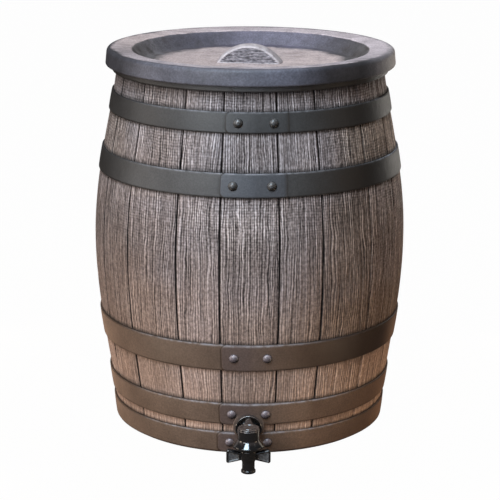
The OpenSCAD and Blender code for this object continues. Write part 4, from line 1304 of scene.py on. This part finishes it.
def build_grip(sizes, finish):
    """A low dome behind an upright half-round face, as arches that shrink to a point at both ends.

    At depth d behind the face an arch is the dome's section there; on the face the arch is scaled towards the middle
    of its foot, and level grain lines are pressed into it.
    """
    foot_radius, tall = 0.5 * sizes.grip_width / MM, sizes.grip_height / MM
    front, cut = -sizes.grip_front / MM, sizes.grip_cut / MM
    dome = (foot_radius**2 + tall**2) / (2 * tall)
    sunk, soft, inset, line_pitch = 0.4, 1.3, 0.1, 1.9
    floor = (sizes.top - sizes.dish_depth) / MM - sunk
    turn = np.linspace(-1.0, 1.0, 64)
    foot = np.linspace(1.0, -1.0, 17)[1:-1]
    rows, edges, faces, ridges = [], [], [], []

    def arch(depth):
        """Sideways and upward places along the dome's section at a depth behind the face, and back along its foot."""
        radius = math.sqrt(max(dome**2 - (depth - cut) ** 2, 1e-6))
        centre = tall - dome
        reach = math.acos(min(1.0, max(-1.0, -centre / radius)))
        x = np.concatenate([radius * np.sin(turn * reach), radius * math.sin(reach) * foot])
        z = np.concatenate([np.maximum(centre + radius * np.cos(turn * reach), 0.0), np.zeros(len(foot))])
        return x, z

    def add_row(x, y, z, edge, face, ridge):
        """One arch with its share of rubbed edge, front face and ridge."""
        rows.append(np.stack(np.broadcast_arrays(x, y, floor + z), axis=-1))
        for store, value in ((edges, edge), (faces, face), (ridges, ridge)):
            store.append(np.broadcast_to(value, x.shape))

    face_x, face_z = arch(0.0)
    for scale in np.linspace(0.0, 1.0 - soft / foot_radius, 48):
        x, z = face_x * scale, face_z * scale
        wave = 0.5 * np.sin(x / 5.0) + 2.2 * noise(x / 7.0, z / 4.0, 52)
        comb = 0.5 + 0.5 * np.sin(2 * math.pi * z / line_pitch + wave)
        cut_line = comb * (0.35 + 0.65 * noise(x / 2.4, z / 1.3, 53))
        pressed = 0.8 * cut_line * smooth(scale, 0.0, 0.06) * ebb(scale, 0.925, 0.975) * smooth(z, 0.6, 1.8)
        border = np.maximum(smooth(scale, 0.91, 0.975), ebb(z, 0.8, 2.0))
        add_row(x, front + inset + pressed, z, border, 1.0, 1 - cut_line)
    for bend in np.linspace(0.0, 0.5 * math.pi, 5)[1:]:
        back = soft * (1 - math.cos(bend))
        x, z = arch(back)
        scale = 1.0 - soft / foot_radius * (1 - math.sin(bend))
        add_row(x * scale, front + inset + back, z * scale, 1.0, 0.3, 1.0)
    for depth in soft + (cut + foot_radius - soft) * np.sin(np.linspace(0.0, 0.5 * math.pi, 30)[1:]):
        x, z = arch(float(depth))
        add_row(x, front + depth, z, ebb(depth, 1.0, 4.0), 0.0, 1.0)
    points = np.stack(rows)
    swing = math.radians(-sizes.turn)
    x, y = points[..., 0].copy(), points[..., 1].copy()
    points[..., 0] = x * math.cos(swing) - y * math.sin(swing)
    points[..., 1] = x * math.sin(swing) + y * math.cos(swing)
    values = {"edge": edges, "face": faces, "ridge": ridges}
    attributes = {label: spread(np.stack(value), True, True) for label, value in values.items()}
    material = grip_paint(finish)
    return piece("half_round_grip", closed(points), "lid", ["lid_grip"], [material], attributes)


# Tap


def plain_panel(surface):
    """A panel value of 0 for every vertex of a surface."""
    return np.zeros(len(surface[0]))


def tap_inlet(sizes, inlet_height, reach, recess):
    """Flange, inlet tube and threaded tail turned about Y."""
    tube, flange, tail, port = in_mm(sizes, "tube_radius", "flange_radius", "tail_radius", "port_radius")
    flange_back, tail_end = node_depths("flange_gasket")[0], node_depths("tap_body")[1]
    flange_front = flange_back - sizes.flange / MM
    bore, plain_tail, pitch, thread = 20.0, 19.0, 1.8, 0.25
    corners = [
        [0.0, reach], [tube, reach], [tube, recess], [flange - 3.4, recess], [flange - 3.0, flange_front],
        [flange, flange_front], [flange, flange_back], [tail, flange_back], [tail, tail_end], [port, tail_end],
        [port, tail_end - bore], [0.0, tail_end - bore],
    ]
    profile = fine(fillet(corners, [0, 1.5, 0.5, 1.3, 1.3, 0.5, 0.2, 0.8, 0.4, 0.0], 4), 0.4)
    threaded = (profile[:, 1] > flange_back + plain_tail) & (profile[:, 0] > tail - 0.2)
    wave = thread - thread * np.cos(2 * math.pi * (profile[:, 1] - tail_end) / pitch)
    profile[:, 0] -= np.where(threaded, wave, 0.0)
    return closed(turned_along_y(profile, TAP_COLUMNS, inlet_height))


def tap_hood(sizes, inlet_height, reach, recess, tower_top):
    """The hood on the inlet tube, broad at the tower and narrow at the flange.

    Each section is an arch x = w cos a, z = h sin a, with both raised to a power below 1 for full shoulders.
    """
    fullness, foot_share, count = 0.7, 0.4, 12
    ends = np.concatenate([[0.0], np.linspace(0.0, 1.0, count), [1.0]])[:, None]
    grown = np.concatenate([[0.0], np.ones(count), [0.0]])[:, None]
    half = 0.5 * (sizes.hood_tower + (sizes.hood_flange - sizes.hood_tower) * ends) / MM
    tall = tower_top - sizes.hood_drop / MM - inlet_height
    swing = np.linspace(math.pi, 0.0, 25)
    base_x = np.linspace(1.0, -1.0, 9)[1:-1]
    ring_x = np.concatenate([np.sign(np.cos(swing)) * np.abs(np.cos(swing)) ** fullness, base_x])
    ring_z = np.concatenate([np.abs(np.sin(swing)) ** fullness, np.zeros(len(base_x))])
    x = half * ring_x * grown
    y = reach + (recess + 0.4 - reach) * ends
    z = inlet_height + tall * (foot_share + (ring_z - foot_share) * grown)
    return closed(np.stack(np.broadcast_arrays(x, y, z), axis=-1))


def build_tap_housing(sizes, material):
    """Inlet, hood, and the tower with its bell turned about Z, in one piece."""
    inlet_height, reach = sizes.inlet_height / MM, -sizes.reach / MM
    recess = node_depths("flange_gasket")[0] - sizes.flange / MM + sizes.flange_recess / MM
    tower, bell, bell_height = in_mm(sizes, "tower_radius", "bell_radius", "bell_height")
    neck, cap = inlet_height - sizes.neck_drop / MM, 2.0
    collar = neck + 4.0
    tower_top = node_heights("tap_cap")[1] - cap
    corners = [
        [0.0, neck], [tower - 1.0, neck], [tower - 1.0, collar], [bell, collar], [bell, collar + 2.5],
        [tower, collar + bell_height], [tower, tower_top], [0.0, tower_top],
    ]
    profile = fine(fillet(corners, [0.4, 0.6, 0.9, 0.9, 2.5, 0.9], 5), 1.5)
    surface = joined(
        tap_inlet(sizes, inlet_height, reach, recess),
        closed(turned(profile, TOWER_COLUMNS, reach)),
        tap_hood(sizes, inlet_height, reach, recess, tower_top),
    )
    attributes = {"panel": plain_panel(surface)}
    return piece("tap_housing", surface, "barrel", ["tap_body"], [material], attributes)


def build_tap_cap(sizes, material):
    """The round cap on the tower: a disc with a soft edge and a shallow ring groove, turned about the tap's axis."""
    low, high = node_heights("tap_cap")
    radius, spigot = sizes.tower_radius / MM - 0.4, 9.9
    seat, sunk = high - 2.0, high - 0.6
    corners = [
        [0.0, low], [spigot, low], [spigot, seat], [radius, seat], [radius, high], [radius - 3.6, high],
        [radius - 4.0, sunk], [radius - 5.2, sunk], [radius - 5.6, high], [0.0, high],
    ]
    profile = fine(fillet(corners, [0.1, 0.1, 0.3, 1.1, 0.2, 0.2, 0.2, 0.2], 4), 1.5)
    surface = closed(turned(profile, TAP_COLUMNS, -sizes.reach / MM))
    attributes = {"panel": plain_panel(surface)}
    return piece("tower_cap", surface, "barrel", ["tap_cap"], [material], attributes)


def wing_outline(sizes, inset, middle):
    """Outline of one wing from the front, moved in by inset: broad and round at its end, narrow at the hub."""
    hub = sizes.hub_radius / MM
    end = 0.5 * sizes.wing_span / MM - inset
    root = hub + inset - 1.0 if inset > 1.5 else hub - 4.0 + inset
    tip = 0.5 * sizes.wing_tip / MM - inset
    foot = 0.5 * sizes.wing_root / MM - 0.6 * inset
    corner = max(3.0 - 0.5 * inset, 1.2)
    swing = np.radians(np.linspace(-70.0, 0.0, 7))
    low = np.stack([end - corner + corner * np.cos(swing), -tip + corner + corner * np.sin(swing)], axis=1)
    high = (low * [1, -1])[::-1]
    start, finish = np.array([[root, -foot]]), np.array([[root, foot]])

    def straight(a, b, count):
        return a + (b - a) * np.linspace(0.0, 1.0, count)[:, None]

    painted_shadow = straight(start, low[:1], 9)[:-1]
    end_edge = straight(low[-1:], high[:1], 7)[1:-1]
    upper_edge = straight(high[-1:], finish, 9)[1:]
    root_edge = straight(finish, start, 5)[1:-1]
    return np.concatenate([painted_shadow, low, end_edge, high, upper_edge, root_edge]) + [0.0, middle]


def build_nozzle(sizes, material):
    """The turning piece: plug, hub, cone and spout turned about the tap's axis, and two wings with sunk panels.

    A wing is its outline carried from the middle of the front panel out to the border and over the soft edge to the
    back.
    """
    low, high = node_heights("tap_nozzle")
    neck, axis, plug, bore = (sizes.inlet_height - sizes.neck_drop) / MM - 0.4, -sizes.reach / MM, 7.9, low + 16.0
    spout, lip, hub, port = in_mm(sizes, "spout_radius", "lip_radius", "hub_radius", "port_radius")
    corners = [
        [0.0, bore], [port, bore], [port, low], [lip, low], [lip, low + 3.0], [spout, low + 3.6],
        [spout, neck - 15.0], [hub, neck - 9.0], [hub, neck], [plug, neck], [plug, high], [0.0, high],
    ]
    profile = fine(fillet(corners, [0, 0.6, 0.7, 0.8, 0.5, 2.0, 1.2, 0.8, 0.1, 0.3], 4), 1.5)
    core = closed(turned(profile, TAP_COLUMNS, axis))

    middle = (sizes.inlet_height - sizes.tube_radius - sizes.wing_gap - 0.5 * sizes.wing_tip) / MM
    half, sink = 0.5 * sizes.wing_thickness / MM, 1.2
    insets = [3.4, 2.5, 2.2, 1.9, 1.0, 0.5, 0.14, 0.0]
    falls = [sink, sink, 0.2, 0.0, 0.0, 0.14, 0.5, 1.0]
    depths = [half - fall for fall in falls]
    depths = [-depth for depth in depths] + depths[::-1]
    rings = [wing_outline(sizes, inset, middle) for inset in insets + insets[::-1]]
    centre = np.broadcast_to(rings[0].mean(axis=0), rings[0].shape)
    ring = np.stack([centre, *rings, centre])
    depth = np.array([depths[0], *depths, depths[-1]])[:, None]
    flat = np.array([1.0] * 3 + [0.0] * 12 + [1.0] * 3)[:, None]
    wings, panels = [], []
    for side in (-1, 1):
        order = ring[:, ::-1] if side > 0 else ring
        grid = np.broadcast_arrays(side * order[..., 0], axis + depth, order[..., 1])
        wings.append(closed(np.stack(grid, axis=-1)))
        panels.append(spread(np.broadcast_to(flat, order.shape[:2]), True, True))
    attributes = {"panel": np.concatenate([plain_panel(core)] + panels)}
    surface = joined(core, *wings)
    return piece("winged_nozzle", surface, "nozzle", ["tap_nozzle"], [material], attributes)


def build_boss(sizes, material):
    """The flat boss behind the flange, a ring through the wall turned about the inlet's axis."""
    face, inner = -sizes.boss_face / MM, node_depths("inner_gasket")[0]
    radius, hole = sizes.boss_radius / MM, sizes.tail_radius / MM + 0.4
    start = [radius, face + 6.0]
    corners = [start, [radius, inner], [hole, inner], [hole, face], [radius, face], start]
    profile = fine(fillet(corners, [1.0, 0.3, 0.3, 1.2], 4), 1.2)[:-1]
    surface = skin(turned_along_y(profile, TOWER_COLUMNS, sizes.inlet_height / MM), ring_rows=True)
    none = np.zeros(len(surface[0]))
    attributes = {"upper_edge": none, "painted_shadow": none, "lap": none + 0.5}
    return piece("tap_boss", surface, "barrel", ["barrel_shell"], [material], attributes)


# Stage


def area_light(name, place, target, size, watts, colour, unseen_by):
    """A soft rectangular lamp at a place, turned towards a target and hidden from some kinds of ray."""
    lamp = bpy.data.lights.new(name, "AREA")
    lamp.shape = "RECTANGLE"
    lamp.size, lamp.size_y = size
    lamp.energy = watts
    lamp.color = colour
    made = bpy.data.objects.new(name, lamp)
    bpy.context.scene.collection.objects.link(made)
    made.location = place
    aim = np.array(target) - np.array(place)
    flat = math.hypot(aim[0], aim[1])
    made.rotation_euler = (math.atan2(flat, -aim[2]), 0.0, math.atan2(-aim[0], aim[1]))
    for ray in unseen_by:
        setattr(made, "visible_" + ray, False)


def add_camera(scene, sizes):
    """The camera in front of the barrel, tilted down."""
    camera = bpy.data.cameras.new("camera")
    camera.lens = sizes.lens
    camera.sensor_width = 36.0
    camera.shift_x = sizes.shift
    camera.clip_end = 60.0
    seat = bpy.data.objects.new("camera", camera)
    scene.collection.objects.link(seat)
    seat.location = (0.0, -sizes.camera_back, sizes.camera_height)
    tilt = Matrix.Rotation(math.radians(90.0 - sizes.camera_tilt), 3, "X")
    seat.rotation_euler = (tilt @ Matrix.Rotation(math.radians(sizes.camera_roll), 3, "Z")).to_euler()
    scene.camera = seat


def add_floor(scene, sizes):
    """The floor: white to the camera, matt to the light it throws back and dim in reflections."""
    half = sizes.floor / 2
    mesh = bpy.data.meshes.new("pale_floor")
    mesh.from_pydata(
        [(-half, -half, 0.0), (half, -half, 0.0), (half, half, 0.0), (-half, half, 0.0)], [], [(0, 1, 2, 3)]
    )
    floor = bpy.data.objects.new("pale_floor", mesh)
    scene.collection.objects.link(floor)
    material = bpy.data.materials.new("pale floor")
    material.use_nodes = True
    tree = material.node_tree
    tree.nodes.clear()
    path = put(tree, "LightPath").outputs
    matt = put(tree, "BsdfDiffuse", {"Color": (0.26, 0.20, 0.16)})
    dim = put(tree, "BsdfDiffuse", {"Color": (0.10, 0.078, 0.062)})
    glow = put(tree, "Emission", {"Color": WHITE, "Strength": 1.0})
    mirrored = put(tree, "MixShader", {0: path["Is Glossy Ray"], 1: matt.outputs[0], 2: dim.outputs[0]})
    white_share = 0.985
    share = put(tree, "Math", {0: path["Is Camera Ray"], 1: white_share}, operation="MULTIPLY")
    shader = put(tree, "MixShader", {0: share.outputs[0], 1: mirrored.outputs[0], 2: glow.outputs[0]})
    put(tree, "OutputMaterial", {"Surface": shader.outputs[0]})
    mesh.materials.append(material)


def add_world(scene):
    """A faint warm surround that the camera sees as white."""
    world = bpy.data.worlds.new("studio")
    scene.world = world
    world.use_nodes = True
    tree = world.node_tree
    tree.nodes.clear()
    soft = put(tree, "Background", {"Color": (1.0, 0.93, 0.86), "Strength": 0.10})
    white = put(tree, "Background", {"Color": WHITE, "Strength": 1.0})
    path = put(tree, "LightPath").outputs
    blend = put(tree, "MixShader", {0: path["Is Camera Ray"], 1: soft.outputs[0], 2: white.outputs[0]})
    put(tree, "OutputWorld", {"Surface": blend.outputs[0]})


# Operators


class BARREL_OT_wall(bpy.types.Operator):
    """Builds the grained wall with its staves, rim, inside and floor"""

    bl_idname = "barrel.wall"
    bl_label = "Grained wall"

    def execute(self, context):
        build_wall(context.scene.barrel_wall, context.scene.barrel_finish)
        return {"FINISHED"}


class BARREL_OT_hoops(bpy.types.Operator):
    """Builds the five lapped hoops, the rim hoop, the tap's boss and the rivets"""

    bl_idname = "barrel.hoops"
    bl_label = "Hoops and rivets"

    def execute(self, context):
        sizes, wall, finish = context.scene.barrel_hoops, context.scene.barrel_wall, context.scene.barrel_finish
        slate = hoop_paint(
            "slate hoop paint", finish.slate, finish.lap_slate, finish.edge_wear_and_highlight, finish.slate_shadow, SLATE_SHEEN
        )
        brown = hoop_paint(
            "brown hoop paint", finish.brown, finish.lap_brown, finish.edge_wear_and_highlight, finish.brown_shadow, BROWN_SHEEN
        )
        thickness, rim_thickness, lap = in_mm(sizes, "thickness", "rim_thickness", "lap")
        for name, shift, span in LAPPED_HOOPS:
            material = brown if name in BROWN_HOOPS else slate
            build_hoop(name, sizes, wall, material, shift, span, thickness, lap)
        name, shift, span = RIM_LAP
        build_hoop(name, sizes, wall, slate, shift, span, rim_thickness - RIM_LAP_THICKNESS, RIM_LAP_THICKNESS)
        build_boss(context.scene.barrel_tap, brown)
        build_rivets(sizes, wall, rivet_paint(finish))
        return {"FINISHED"}


class BARREL_OT_lid(bpy.types.Operator):
    """Builds the dished lid and its half-round grip"""

    bl_idname = "barrel.lid"
    bl_label = "Lid and grip"

    def execute(self, context):
        build_lid(context.scene.barrel_lid, context.scene.barrel_finish)
        build_grip(context.scene.barrel_lid, context.scene.barrel_finish)
        return {"FINISHED"}


class BARREL_OT_tap(bpy.types.Operator):
    """Builds the tap's housing, cap and winged nozzle, and finishes its gaskets, nut, rings and clip"""

    bl_idname = "barrel.tap"
    bl_label = "Tap"

    def execute(self, context):
        sizes, finish = context.scene.barrel_tap, context.scene.barrel_finish
        black, rubber, steel = tap_plastic(finish), gasket_rubber(finish), spring_steel(finish)
        build_tap_housing(sizes, black)
        build_tap_cap(sizes, black)
        build_nozzle(sizes, black)
        kept = {
            "flange_gasket": rubber,
            "inner_gasket": rubber,
            "nozzle_rings": rubber,
            "back_nut": black,
            "nozzle_clip": steel,
        }
        for name, material in kept.items():
            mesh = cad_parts[name].data
            mesh.materials.clear()
            mesh.materials.append(material)
        return {"FINISHED"}


class BARREL_OT_stage(bpy.types.Operator):
    """Sets up the camera, the pale floor and the soft studio light"""

    bl_idname = "barrel.stage"
    bl_label = "Stage"

    def execute(self, context):
        scene, sizes = context.scene, context.scene.barrel_stage
        scene.view_settings.view_transform = "Standard"
        add_camera(scene, sizes)
        add_floor(scene, sizes)
        add_world(scene)
        for lamp in LAMPS:
            area_light(*lamp)
        return {"FINISHED"}


PROPERTY_GROUPS = (WallSizes, HoopSizes, LidSizes, TapSizes, Finish, StageSizes)
OPERATORS = (BARREL_OT_wall, BARREL_OT_hoops, BARREL_OT_lid, BARREL_OT_tap, BARREL_OT_stage)
HOLDERS = ("barrel_wall", "barrel_hoops", "barrel_lid", "barrel_tap", "barrel_finish", "barrel_stage")


class BARREL_PT_panel(bpy.types.Panel):
    """Lists the barrel's pieces and the values that shape them"""

    bl_idname = "BARREL_PT_panel"
    bl_label = "Rain barrel"
    bl_space_type = "VIEW_3D"
    bl_region_type = "UI"
    bl_category = "Rain barrel"

    def draw(self, context):
        layout = self.layout
        for operator in OPERATORS:
            layout.operator(operator.bl_idname)
        for holder in HOLDERS:
            group = getattr(context.scene, holder)
            box = layout.box()
            for name in group.__annotations__:
                box.prop(group, name)


def register():
    """Registers the values, the operators and the panel."""
    for group, holder in zip(PROPERTY_GROUPS, HOLDERS):
        bpy.utils.register_class(group)
        setattr(bpy.types.Scene, holder, PointerProperty(type=group))
    for operator in OPERATORS:
        bpy.utils.register_class(operator)
    bpy.utils.register_class(BARREL_PT_panel)


def unregister():
    """Takes away what register() added."""
    bpy.utils.unregister_class(BARREL_PT_panel)
    for operator in reversed(OPERATORS):
        bpy.utils.unregister_class(operator)
    for group, holder in zip(PROPERTY_GROUPS, HOLDERS):
        delattr(bpy.types.Scene, holder)
        bpy.utils.unregister_class(group)


def main():
    """Registers the add-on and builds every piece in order."""
    register()
    bpy.ops.barrel.stage()
    bpy.ops.barrel.wall()
    bpy.ops.barrel.hoops()
    bpy.ops.barrel.lid()
    bpy.ops.barrel.tap()


if __name__ == "__main__":
    main()
